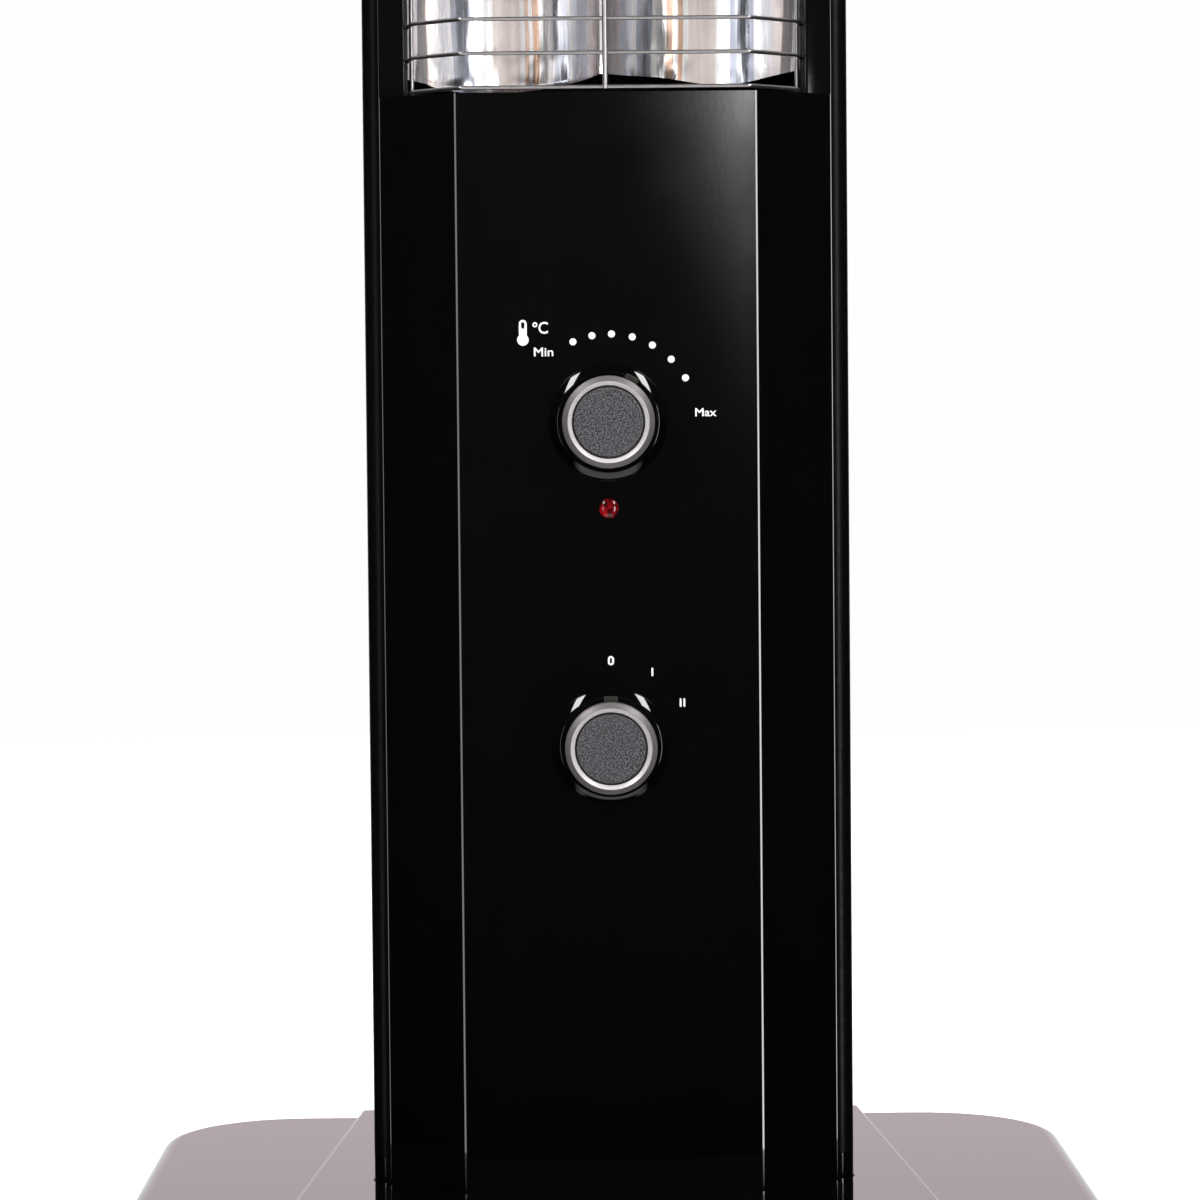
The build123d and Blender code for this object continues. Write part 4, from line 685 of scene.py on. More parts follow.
def speckled_material():
    """Dark lacquer with fine bright grains, for the knobs' discs."""
    material, shader, place = blank_material("insert_dark")
    grain = noise_value(place, 1500.0, 2.0)
    share = ranged(grain, 0.0, 1.0, 0.4, 0.68)
    colour = mixed(share, (0.012, 0.0117, 0.0127), (0.106, 0.1015, 0.1105))
    feed(shader, Base_Color=colour, Roughness=ranged(grain, 0.34, 0.5))
    bumped(shader, grain, 0.5, 0.2 * MM)
    return material


def lamp_material():
    """Red plastic with small facets, drawn without the lens's translucency."""
    material, shader, place = blank_material("lamp_red")
    cells = new_node(place, "TexVoronoi")
    feed(cells, Vector=place, Scale=450.0)
    # Each facet's red is lighter in its middle and darker toward its edges.
    depth = ranged(cells.outputs["Distance"], 0.0, 1.0, 0.1, 0.7)
    colour = mixed(depth, (0.26, 0.002, 0.005), (0.03, 0.0006, 0.001))
    feed(shader, Base_Color=colour, Roughness=0.1)
    bumped(shader, cells.outputs["Distance"], 0.15, 0.1 * MM)
    return material


# Grained finishes: name, two colours, scale of the grain, range of roughness, bump, other inputs, stretch
METAL = {"Metallic": 1.0}
GRAINED = (
    ("shell_black", (0.0008, 0.0008, 0.0009), (0.0018, 0.0018, 0.002), 700.0, (0.3, 0.4), 0.03, {"IOR": 1.2}),
    ("plate_black", grey(0.012), grey(0.022), 500.0, (0.5, 0.65), 0.04),
    ("liner_black", grey(0.002), grey(0.006), 500.0, (0.6, 0.8), 0.03, {"IOR": 1.2}),
    # dark colour painted on the heat shield, as shade in the gap below the reflector
    ("shield_painted_shade", grey(0.002), (0.006, 0.0055, 0.005), 200.0, (0.55, 0.75), 0.03, {"IOR": 1.25}),
    ("foot_rubber", grey(0.016), grey(0.03), 300.0, (0.7, 0.85), 0.05),
    ("steel_bright", grey(0.5), (0.68, 0.68, 0.67), 400.0, (0.22, 0.35), 0.0, METAL),
    ("sheet_zinc", (0.42, 0.43, 0.44), (0.6, 0.61, 0.62), 60.0, (0.3, 0.5), 0.0, METAL),
    # lighter grey painted on the base's creases as a highlight
    ("crease_highlight_grey", (0.05, 0.048, 0.05), (0.09, 0.086, 0.088), 300.0, (0.4, 0.5), 0.0, {"IOR": 2.0}),
    ("guard_chrome", (0.4, 0.385, 0.385), (0.52, 0.5, 0.5), 300.0, (0.3, 0.4), 0.0, METAL),
    ("carbon", grey(0.01), grey(0.05), 900.0, (0.5, 0.7), 0.0, None, (1, 1, 0.3)),
    ("ceramic", (0.74, 0.72, 0.66), (0.84, 0.82, 0.77), 200.0, (0.6, 0.8), 0.03),
    ("knob_dark", (0.03, 0.03, 0.031), (0.05, 0.05, 0.052), 1500.0, (0.42, 0.55), 0.03),
    ("ring_silver", (0.17, 0.156, 0.158), (0.24, 0.22, 0.224), 1500.0, (0.36, 0.46), 0.0, {"Metallic": 0.7}),
    # lighter copy of ring_silver, painted on the ring's inner bevel as a highlight
    ("bevel_highlight_silver", (0.46, 0.437, 0.437), (0.58, 0.55, 0.55), 1500.0, (0.3, 0.4), 0.0, {"Metallic": 0.3}),
    ("lamp_housing", (0.6, 0.6, 0.58), (0.75, 0.75, 0.72), 200.0, (0.4, 0.6)),
    ("control_moulding", grey(0.03), grey(0.06), 300.0, (0.4, 0.6)),
    ("terminal_cream", (0.62, 0.57, 0.46), (0.76, 0.72, 0.62), 200.0, (0.4, 0.6)),
    ("gland_black", grey(0.01), grey(0.02), 600.0, (0.45, 0.6), 0.03),
    ("print_white", (0.62, 0.61, 0.62), (0.74, 0.73, 0.74), 1500.0, (0.5, 0.7)),
    ("pointer_olive", (0.012, 0.012, 0.01), (0.026, 0.025, 0.021), 1500.0, (0.3, 0.4)),
    ("floor_pale", (0.9, 0.89, 0.9), (0.93, 0.92, 0.93), 6.0, (0.7, 0.8)),
)

FINISH = {look[0]: grained(*look) for look in GRAINED}
FINISH["gloss_black"] = gloss_material()
FINISH["insert_dark"] = speckled_material()
FINISH["reflector_bright"] = reflector_material()
FINISH["quartz"] = quartz_material()
FINISH["lamp_red"] = lamp_material()


# Column
def front_panel():
    """Raised face with its two slopes, closed above, with holes for the spindles and the lamp."""
    line = rounded(*front_corners())
    piece = loft("front_panel_skin", [lying(line, SEAM_Z), lying(line, SILL_Z)], closed=False, end_face=True)
    thicken(piece, COVER_WALL)
    cutters = []
    for z, radius in ((THERMOSTAT_Z, SPINDLE_HOLE), (POWER_Z, SPINDLE_HOLE), (LAMP_Z, LENS_HOLE)):
        hole = circle(radius, 0, z)
        near, far = FACE_Y - COVER_WALL, FACE_Y + 2 * COVER_WALL
        cutters.append(prism("hole", standing(hole, near), standing(hole, far)))
    return cut(piece, cutters)


def window_loop(half, low, high, radius, y):
    """Loop of the window frame at depth y, with its two upper corners rounded."""
    line = [Vector((-half, low)), Vector((half, low))]
    for side in (1, -1):
        for angle in quarter(8):
            across, rise = math.cos(angle), math.sin(angle)
            if side < 0:
                across, rise = rise, across
            line.append(Vector((side * (half - radius + radius * across), high - radius + radius * rise)))
    return standing(line, y)


def window_frame():
    """Flat rim round the reflector's window, with deep inner walls and a narrow bevel at each side."""
    low = SILL_Z + WINDOW_SILL
    high = TOP_SEAM_Z - WINDOW_TOP_BAND
    loops = [window_loop(WINDOW_X, low, high, WINDOW_CORNER, RETURN_Y)]
    for angle in quarter(4):
        out = WINDOW_EDGE * (1 - math.cos(angle))
        y = RIM_Y + WINDOW_EDGE * (1 - math.sin(angle))
        loops.append(window_loop(WINDOW_X + out, low - out, high + out, WINDOW_CORNER + out, y))
    inner = COVER_X - COVER_WALL
    behind = RIM_Y + COVER_WALL
    under = TOP_SEAM_Z - COVER_WALL
    for half, top, y in (
        (COVER_X - RIM_FLAT.x, TOP_SEAM_Z, RIM_Y), (COVER_X, TOP_SEAM_Z, RIM_Y + RIM_FLAT.y),
        (COVER_X, TOP_SEAM_Z, SHOULDER_Y), (inner, under, SHOULDER_Y), (inner, under, behind),
    ):
        loops.append(window_loop(half, SILL_Z, top, 0, y))
    for y in (behind, RETURN_Y):
        outside = WINDOW_X + RETURN_WALL
        loops.append(window_loop(outside, SILL_Z, high + RETURN_WALL, WINDOW_CORNER + RETURN_WALL, y))
    loops.append(loops[0])
    return mend(loft("window_frame_skin", loops))


def line_frame(piece):
    """Gives the frame's sill and its walls behind the rim a dull finish."""
    piece.data.materials.append(FINISH["liner_black"])
    for face in piece.data.polygons:
        x, y, z = face.center
        inside = abs(x) < WINDOW_X + RETURN_WALL + EDGE and z < TOP_SEAM_Z - COVER_WALL
        behind = y > RIM_Y + WINDOW_EDGE
        sill = z < SILL_Z + WINDOW_SILL + WINDOW_EDGE
        if inside and (behind or sill):
            face.material_index = 1


def post_places():
    """Centres of the screw posts."""
    low = SEAM_Z + POST_LOW
    high = SILL_Z - POST_HIGH
    return [(side * POST_X, z) for side in (-1, 1) for z in (low, (low + high) / 2, high)]


def louvre_places():
    """Centres of the louvres: two columns, each of an upper and a lower bank."""
    banks = ((UPPER_LOUVRES, SILL_Z + UPPER_LOUVRE_RISE), (LOWER_LOUVRES, SEAM_Z + LOWER_LOUVRE_RISE))
    return [
        (side * LOUVRE_X, start + row * LOUVRE_PITCH)
        for side in (-1, 1) for rows, start in banks for row in range(rows)
    ]


def rear_shell():
    """Rounded channel with louvres, sunk screw posts and the cord gland's hole."""
    line = shell_line()
    piece = loft("rear_shell_skin", [lying(line, SEAM_Z), lying(line, TOP_SEAM_Z)], closed=False)
    thicken(piece, SHELL_WALL, edge=SHELL_EDGE)
    outlines = [circle(GLAND_HOLE, 0, GLAND_Z)]
    outlines += [slot_line(LOUVRE_WIDTH, LOUVRE_HEIGHT, x, z) for x, z in louvre_places()]
    outlines += [circle(POST_BORE, x, z) for x, z in post_places()]
    near = BACK_Y - 6 * SHELL_WALL
    far = BACK_Y + SHELL_WALL
    cut(piece, [prism("hole", standing(outline, near), standing(outline, far)) for outline in outlines])
    start = BACK_Y - SHELL_WALL / 2 - POST_FLOOR_Y
    profile = (
        (POST_BORE, start), (POST_BORE, 0), (0, 0),
        (0, -POST_END), (POST_RADIUS, -POST_END), (POST_RADIUS, start),
    )
    posts = [lathe("post", profile, Vector((x, POST_FLOOR_Y, z)), BACK, 24) for x, z in post_places()]
    return mend(join("rear_shell_skin", [piece] + posts))


def drawn_in(rise, height, radius):
    """How far a rounding at a cap's end has drawn its plan in at this rise."""
    past = max(0.0, rise - (height - radius))
    return radius - math.sqrt(max(0.0, radius ** 2 - past ** 2))


def cap(name, seam_z, end_z):
    """End cap: the column's plan drawn in towards the end on two roundings."""
    up = 1 if end_z > seam_z else -1
    height = abs(end_z - seam_z)
    plan = column_line()
    loops = [lying(plan, seam_z)]
    for angle in quarter(CAP_LEVELS):
        rise = height - CAP_CORNER * (1 - math.sin(angle))
        across = 1 - drawn_in(rise, height, CAP_CORNER) / SHELL_X
        deep = 1 - drawn_in(rise, height, CAP_BROW) / BACK_Y
        loops.append([Vector((point.x * across, point.y * deep, seam_z + up * rise)) for point in plan])
    return thicken(loft(name, loops, end_face=True), CAP_WALL, edge=SHELL_EDGE)


# Base
def base_loop(inset, progress):
    """Loop of the base at an inset, as points with the share of the saddle's rise that each has."""
    half_x = BASE_X - inset
    half_y = BASE_Y - inset
    radius = BASE_CORNER - inset
    loop = []
    for side, start in ((1, -math.pi / 2), (-1, math.pi / 2)):
        for end, turn in ((-1, start), (1, start + math.pi / 2)):
            centre = Vector((side * (half_x - radius), side * end * (half_y - radius)))
            for angle in quarter(BASE_STEPS):
                arm = Vector((math.cos(turn + angle), math.sin(turn + angle))) * radius
                loop.append((centre.x + arm.x, centre.y + arm.y, 0.0))
        y = side * half_y
        reach = SADDLE_BACK_X + (BASE_Y - y) * SADDLE_SPREAD
        edge = []
        for point in range(STEP_POINTS):
            part = point / (STEP_POINTS - 1)
            edge.append((reach - SADDLE_STEP * progress * part, (1 - math.cos(math.pi * part)) / 2))
        for x, share in edge + [(-x, share) for x, share in reversed(edge)]:
            loop.append((side * x, y, share))
    return loop


def base_rows():
    """Rows up the base's wall and over its edge: inset, height, the saddle's rise and the progress."""
    wall_top = WING_TOP - BASE_ROUND * (1 - math.sin(BASE_DRAFT))
    wall_inset = (wall_top - RIM_Z) * math.tan(BASE_DRAFT)
    rows = [(0.0, RIM_Z, 0.0, 0.0)]
    for step in range(BASE_STEPS + 1):
        progress = step / BASE_STEPS
        angle = BASE_DRAFT + (math.pi / 2 - BASE_DRAFT) * progress
        inset = wall_inset + BASE_ROUND * (math.cos(BASE_DRAFT) - math.cos(angle))
        z = WING_TOP - BASE_ROUND * (1 - math.sin(angle))
        rows.append((inset, z, SADDLE_RISE * math.sin(progress * math.pi / 2), progress))
    return rows


def close_base(piece, count):
    """Closes the base's top with a face on each wing and strips from back to front between them."""
    shape = bmesh.new()
    shape.from_mesh(piece.data)
    shape.verts.ensure_lookup_table()
    last = [shape.verts[len(shape.verts) - count + i] for i in range(count)]
    half = count // 2
    corners = 2 * (BASE_STEPS + 1)
    shape.faces.new(last[:corners + 1] + [last[count - 1]])
    shape.faces.new(last[half:half + corners + 1] + [last[half - 1]])
    for i in range(half - corners - 1):
        back, front = corners + i, count - 1 - i
        shape.faces.new((last[back], last[back + 1], last[front - 1], last[front]))
    shape.to_mesh(piece.data)
    shape.free()


def base_shell():
    """Hollow base with two wings, a raised saddle between them and the pocket for the column."""
    loops = []
    for inset, z, rise, progress in base_rows():
        loops.append([Vector((x, y, z + rise * share)) for x, y, share in base_loop(inset, progress)])
    piece = loft("base_shell_skin", loops)
    close_base(piece, len(loops[0]))
    thicken(piece, BASE_WALL, edge=BASE_EDGE)
    hole = grown(column_line(False), POCKET_FIT)
    cut(piece, [prism("pocket", lying(hole, COLUMN_Z), lying(hole, SADDLE_TOP + BASE_WALL))])
    tub = mend(loft("tub", [lying(hole, SADDLE_TOP), lying(hole, COLUMN_Z)], end_face=True))
    wall = tub.modifiers.new("wall", "SOLIDIFY")
    wall.thickness = POCKET_WALL
    wall.offset = 1
    return join("base_shell_skin", [piece, bake(tub)])


def paint_crease_highlights(piece):
    """Paints the middle of the steps beside the saddle in a lighter grey, as two fine painted highlights
    along the creases.
    """
    piece.data.materials.append(FINISH["crease_highlight_grey"])
    low, high = CREASE_HIGHLIGHT_SHARES
    for face in piece.data.polygons:
        share = (face.center.z - WING_TOP) / SADDLE_RISE
        if low < share < high and face.normal.z > 0.05 and abs(face.normal.x) > 0.2:
            face.material_index = 1


# Controls
def on_panel(name, profile, z, steps):
    """Piece turned from radii and rises about an axis that stands on the raised face."""
    return mend(lathe(name, profile, Vector((0, FACE_Y, z)), FRONT, steps))


def collar(z):
    """Fixed round collar of a knob, swelling from the panel to a low crest."""
    foot, crest = Vector(COLLAR_FOOT), Vector(COLLAR_CREST)
    half = (crest - foot).length / 2
    sagitta = COLLAR_SWELL - math.sqrt(COLLAR_SWELL ** 2 - half ** 2)
    outward = (crest - foot).orthogonal().normalized()
    outward *= math.copysign(sagitta, outward.x)
    profile = [Vector((COLLAR_BORE, 0.0)), Vector((foot.x, 0.0))]
    profile += arc_through(foot, (foot + crest) / 2 + outward, crest, 16)
    for angle in quarter(6)[1:]:
        profile.append(crest - Vector((math.sin(angle), 1 - math.cos(angle))) * COLLAR_LIP)
    profile.append(profile[0])
    return on_panel("collar", profile, z, 160)


def knob(name, z):
    """Hollow knob moulding with a narrow groove round its disc."""
    inside = KNOB_RADIUS - KNOB_WALL
    ceiling = KNOB_FACE - KNOB_WALL
    groove = KNOB_FACE - GROOVE_DEPTH
    profile = (
        (0, KNOB_FACE), (GROOVE_INNER, KNOB_FACE), (GROOVE_INNER, groove), (GROOVE_OUTER, groove),
        (GROOVE_OUTER, KNOB_FACE), (KNOB_RADIUS, KNOB_FACE), (KNOB_RADIUS, KNOB_FOOT), (inside, KNOB_FOOT),
        (inside, ceiling), (HUB_RADIUS, ceiling), (HUB_RADIUS, HUB_FOOT), (0, HUB_FOOT),
    )
    return on_panel(name, profile, z, 128)


def knob_ring(name, z):
    """Bright ring round the knob's edge, with a bevel down to the groove."""
    corners = (
        (KNOB_RADIUS, RING_FOOT), (RING_RADIUS, RING_FOOT), (RING_RADIUS, RING_SHOULDER), RING_CREST,
        (RING_BORE, RING_LIP), (RING_BORE, KNOB_FACE), (KNOB_RADIUS, KNOB_FACE), (KNOB_RADIUS, RING_FOOT),
    )
    return on_panel(name, rounded(corners, (*RING_ROUNDS, 0, 0, 0)), z, 160)


def ring_bevel_highlight(name, z):
    """Thin shell over the inner bevel of a knob's ring, coloured a lighter silver as a painted highlight."""
    crest = Vector(RING_CREST) + Vector((-0.1, 0.02)) * MM
    lip = Vector((RING_BORE, RING_LIP)) + Vector((-0.05, 0.02)) * MM
    profile = (crest, lip, lip - Vector((0, 0.12)) * MM, crest - Vector((0, 0.22)) * MM, crest)
    return on_panel(name, profile, z, 160)


def pointer(name, z, angle):
    """Small tab on the knob's edge."""
    corners = (
        (-POINTER_HALF, KNOB_RADIUS), (-POINTER_HALF, POINTER_REACH),
        (POINTER_HALF, POINTER_REACH), (POINTER_HALF, KNOB_RADIUS),
    )
    turn = Matrix.Rotation(-angle, 2)
    line = [turn @ point + Vector((0, z)) for point in rounded(corners, (POINTER_ROUND, POINTER_ROUND))]
    piece = prism(name, standing(line, FACE_Y - RING_FOOT), standing(line, FACE_Y - POINTER_FACE))
    return bake(soften(mend(piece), POINTER_EDGE))


def knob_disc(name, z):
    """Thin disc in the middle of a knob, a little dished."""
    corners = (
        (0, DISC_FACE - DISC_DISH), (DISC_FLAT, DISC_FACE), (DISC_RADIUS, DISC_FACE),
        (DISC_RADIUS, KNOB_FACE), (0, KNOB_FACE),
    )
    return on_panel(name, rounded(corners, (0, DISC_ROUND, 0)), z, 128)


def lamp_lens():
    """Domed lens that stands in the panel's hole."""
    profile = [(0.0, LENS_DOME)]
    for angle in quarter(9)[1:]:
        profile.append((LENS_RADIUS * math.sin(angle), LENS_DOME * max(0.0, math.cos(angle)) ** LENS_SWELL))
    profile += [(LENS_RADIUS, LENS_RIM_TOP), (LENS_RIM, LENS_RIM_TOP)]
    profile += [(LENS_RIM, LENS_BACK), (0.0, LENS_BACK)]
    return on_panel("lamp_lens_skin", profile, LAMP_Z, 48)


# Guard
def guard_wires():
    """Ladder of bent wires."""
    half = [(-x, WIRE_Y + back) for x, back in WIRE_BENDS]
    plan = rounded(half + [(-x, y) for x, y in reversed(half)], (WIRE_ROUND,) * 4)
    wires = []
    for index in range(WIRE_COUNT):
        wires.append(tube("wire", lying(plan, WIRE_LOW_Z + index * WIRE_PITCH), WIRE_RADIUS, UP))
    return mend(join("guard_wires_round", wires))


def guard_uprights():
    """Upright bar in front of the wires and a rod behind their ends at each side."""
    low = WIRE_LOW_Z
    high = WIRE_LOW_Z + (WIRE_COUNT - 1) * WIRE_PITCH
    places = [(0, WIRE_Y - WIRE_RADIUS - UPRIGHT_RADIUS, UPRIGHT_RADIUS, WIRE_RADIUS)]
    places += [(side * SIDE_ROD_X, SIDE_ROD_Y, SIDE_ROD_RADIUS, 0) for side in (1, -1)]
    bars = []
    for x, y, radius, past in places:
        path = [Vector((x, y, low - past)), Vector((x, y, high + past))]
        bars.append(tube("bar", path, radius, BACK, 16))
    return mend(join("guard_uprights_round", bars))


# Reflector
def trough_line():
    """Front line of the double trough in plan, as points from left flange to right flange."""
    floor_x = (REFLECTOR_X + RIDGE_X) / 2
    right = arc_through((RIDGE_X, RIDGE_DEPTH), (floor_x, TROUGH_DEPTH), (REFLECTOR_X, 0.0), 40)
    flange = [Vector((FLANGE_X, 0.0))]
    left = [Vector((-point.x, point.y)) for point in reversed(right + flange)]
    return left + right + flange


def edge_height(x):
    """Height of the sheet's wavy lower edge."""
    for (low_x, low_z), (high_x, high_z) in zip(SHEET_EDGE, SHEET_EDGE[1:]):
        if x <= high_x * MM or high_x == SHEET_EDGE[-1][0]:
            share = min(1.0, max(0.0, (x / MM - low_x) / (high_x - low_x)))
            return (low_z + (high_z - low_z) * (1 - math.cos(math.pi * share)) / 2) * MM


def wrinkle(x, z, across, upward, layer, depth):
    """Depth of one kind of wrinkle at a place on the sheet."""
    return noise.noise(Vector((x * across, z * upward, layer))) * depth


def sheet_point(point, share):
    """Place of a point of the wrinkled sheet, from its place in plan and its share of the height."""
    x = point.x
    turned = LIP_FALL * max(0.0, math.sin(math.pi * min(1.0, max(0.0, (x - LIP_START_X) / LIP_WIDTH)))) ** 0.5
    low = edge_height(x) - turned
    z = low + (REFLECTOR_HIGH_Z - low) * share
    rise = z - low
    corner = math.exp(-abs(x - CRUMPLE_X) / CRUMPLE_WIDTH)
    bend = wrinkle(x, z, *WAVE) + wrinkle(x, z, *DENT) - WRINKLE_FORWARD
    bend += wrinkle(x, z, *CRUMPLE) * (1 + 2 * corner) * math.exp(-rise / CRUMPLE_HEIGHT)
    bend -= max(0.0, turned - rise) * LIP_LEAN
    loose = min(1.0, max(0.0, point.y / FIRM_DEPTH))
    return Vector((x, point.y + bend * loose, z))


def reflector():
    """Bright wrinkled sheet bent into two troughs, its wavy lower edge turned forward at the left."""
    plan = trough_line()
    shares = [(row / SHEET_ROWS) ** SHEET_CROWD for row in range(SHEET_ROWS + 1)]
    loops = [[sheet_point(point, share) for point in plan] for share in shares]
    return thicken(loft("reflector_sheet", loops, closed=False), SHEET_WALL, edge=0)


def heater_tube(name, node):
    """Clear tube, open at both ends."""
    low, high = [Vector(end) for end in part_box(node)]
    foot = Vector(((low.x + high.x) / 2, (low.y + high.y) / 2, low.z))
    height = high.z - low.z
    bore = TUBE_RADIUS - TUBE_WALL
    profile = ((TUBE_RADIUS, 0), (TUBE_RADIUS, height), (bore, height), (bore, 0), (TUBE_RADIUS, 0))
    return mend(lathe(name, profile, foot, UP, 48))


# Marks printed on the panel
def printed(name, line):
    """Thin printed shape on the raised face."""
    return prism(name, standing(line, FACE_Y - PRINT_RISE), standing(line, FACE_Y + PRINT_SINK))


def word(text, low_x, high_x, low_z, high_z):
    """Printed word in heavy letters that fills a rectangle, given in millimetres from the dial's centre."""
    low_x, high_x, low_z, high_z = [value * MM for value in (low_x, high_x, low_z, high_z)]
    curve = bpy.data.curves.new(text, "FONT")
    curve.body = text
    curve.extrude = LETTER_RISE
    curve.offset = LETTER_WEIGHT
    curve.resolution_u = 4
    source = placed(text, curve)
    bpy.context.view_layer.update()
    view = bpy.context.evaluated_depsgraph_get()
    mesh = bpy.data.meshes.new_from_object(source.evaluated_get(view))
    bpy.data.objects.remove(source)
    xs = [vertex.co.x for vertex in mesh.vertices]
    ys = [vertex.co.y for vertex in mesh.vertices]
    across = (high_x - low_x) / (max(xs) - min(xs))
    rise = (high_z - low_z) / (max(ys) - min(ys))
    for vertex in mesh.vertices:
        x = low_x + (vertex.co.x - min(xs)) * across
        z = THERMOSTAT_Z + low_z + (vertex.co.y - min(ys)) * rise
        vertex.co = Vector((x, FACE_Y - vertex.co.z, z))
    return placed(text, mesh)


def slot_upright(width, height, x, z):
    """Closed flat slot with round ends, set upright."""
    return [Vector((x - point.y, z + point.x)) for point in slot_line(height, width, 0, 0)]


def outlined(name, outer, inner):
    """Printed outline between two closed lines of equally many points."""
    front, back = FACE_Y - OUTLINE_RISE, FACE_Y + PRINT_SINK
    rows = ((outer, back), (outer, front), (inner, front), (inner, back))
    return loft(name, [standing(*row) for row in rows])


def thermometer(x, z):
    """Little thermometer: a round bulb under a tube with an empty top."""
    outer = slot_upright(*STEM_SIZE, x, z + STEM_RISE)
    inner = slot_upright(*STEM_GAP, x, z + STEM_GAP_RISE)
    return [printed("bulb", circle(BULB_RADIUS, x, z)), outlined("tube", outer, inner)]


def dial_marks():
    """Scale of the thermostat: a thermometer, its unit, two words and a row of dots."""
    marks = thermometer(BULB[0], THERMOSTAT_Z + BULB[1])
    for degrees in DOT_TURNS:
        angle = math.radians(degrees)
        x = DOT_SHIFT + DOT_REACH * math.sin(angle)
        marks.append(printed("dot", circle(DOT_RADIUS, x, THERMOSTAT_Z + DOT_REACH * math.cos(angle))))
    marks += [word(*place) for place in WORDS]
    degree = (DEGREE[0], THERMOSTAT_Z + DEGREE[1])
    marks.append(outlined("degree", circle(DEGREE_RADIUS, *degree), circle(DEGREE_BORE, *degree)))
    return join("dial_marks", marks)


def switch_marks():
    """Steps of the power switch: a nought, one bar and two bars."""
    place = (NOUGHT[0], POWER_Z + NOUGHT[1])
    marks = [outlined("off", slot_upright(*NOUGHT_SIZE, *place), slot_upright(*NOUGHT_BORE, *place))]
    marks += [printed("bar", slot_upright(*BAR_SIZE, x, POWER_Z + z)) for x, z in BARS]
    return join("switch_marks", marks)


# Screws
def screw_head(seat, ahead):
    """Pan head with a cross recess, and its shank."""
    profile = [(HEAD_RADIUS * across, HEAD_HEIGHT * up) for across, up in HEAD_SHAPE]
    profile += [(SHANK_RADIUS, 0.0), (SHANK_RADIUS, -SHANK_LENGTH), (0.0, -SHANK_LENGTH)]
    head = mend(lathe("head", profile, seat, ahead, 24))
    right = ahead.orthogonal().normalized()
    cutters = []
    for degrees in (45, 135):
        side = Matrix.Rotation(math.radians(degrees), 3, ahead) @ right
        other = ahead.cross(side)
        ring = [
            seat + side * along * CROSS_REACH + other * across * CROSS_HALF
            for along, across in ((-1, -1), (1, -1), (1, 1), (-1, 1))
        ]
        floor, top = ahead * CROSS_FLOOR, ahead * (HEAD_HEIGHT + 1.0 * MM)
        cutters.append(prism("slot", [point + floor for point in ring], [point + top for point in ring]))
    return cut(head, cutters)


def post_screws():
    """Screws sunk in the rear shell's posts."""
    return join("post_screws", [screw_head(Vector((x, POST_FLOOR_Y, z)), BACK) for x, z in post_places()])


# Light and camera
PICTURE = 1200.0
FOCAL_PIXELS = 4125.0
SENSOR = 36.0
EYE = Vector((-0.0144, -1.714, 0.3604))
YAW = math.radians(0.364)
PITCH = math.radians(2.533)
ROLL = math.radians(-0.517)
FLOOR_HALF = 3.0

# Lights: name, place, target, size, radiance, spin about the light's own axis
COLUMN_TARGET = (0.0, -0.065, 0.3)
SOFTBOXES = (
    ("key_right", (1.445, -1.16, 2.02), COLUMN_TARGET, (0.5, 1.4), 18.0, -35.0),
    ("key_left", (-1.445, -1.16, 2.02), COLUMN_TARGET, (0.5, 1.3), 18.0, 35.0),
    ("overhead", (0.0, 0.0, 4.5), (0.0, 0.0, 0.0), (9.0, 9.0), 2.65, 0.0),
    ("bright_fill", (0.0, -2.2, 1.0), (0.0, 0.0, 0.7), (3.2, 1.6), 0.9, 0.0),
)
FILLED = ("reflector_sheet", "guard_wires_round", "guard_uprights_round")

# World: STRIPS are a turn from the front, low and high in degrees, and a power; other turns are in radians
STRIPS = ((-39.0, -31.0, 4.5), (31.0, 39.0, 16.0))
STRIP_SOFT = 0.02
STRIP_RISE = (-0.25, 0.16, 0.03)
PANEL_WAY = (0.515, -0.857)
PANEL_EDGE = (0.82, 0.9)
PANEL_POWER = 1.3
GLOOM_POWERS = (0.01, 0.075)
GLOOM_RISE = (-0.17, 0.09)
GLOOM_AHEAD = (-0.9, -0.6)
SHEEN_POWER = 10.5
SHEEN_TURN, SHEEN_WIDTH, SHEEN_END = 0.044, 0.007, 0.0458
SHEEN_RISE, SHEEN_HEIGHT, SHEEN_TOP = 0.077, 0.0185, 0.083
SHEEN_START = -0.2
SHEEN_SIDE_SOFT, SHEEN_TOP_SOFT = 0.0012, 0.004
BEHIND_EDGE = (0.8, 0.92)
BACKDROP_RISE = (0.1, 0.4, 0.05)
BACKDROP_EDGE = (0.5, 0.8)
ROOM_TINT = (1.0, 0.99, 0.995)
BACKDROP_TINT = (1.11, 0.96, 1.03)


def add_camera():
    """Camera at the photograph's view."""
    forward = Vector((math.sin(YAW) * math.cos(PITCH), math.cos(YAW) * math.cos(PITCH), -math.sin(PITCH)))
    level = Vector((math.cos(YAW), -math.sin(YAW), 0.0))
    rise = level.cross(forward)
    right = level * math.cos(ROLL) + rise * math.sin(ROLL)
    up = right.cross(forward)
    data = bpy.data.cameras.new("camera")
    data.sensor_width = SENSOR
    data.lens = FOCAL_PIXELS / PICTURE * SENSOR
    camera = placed("camera", data)
    turn = Matrix((right, up, -forward)).transposed().to_4x4()
    camera.matrix_world = Matrix.Translation(EYE) @ turn
    bpy.context.scene.camera = camera


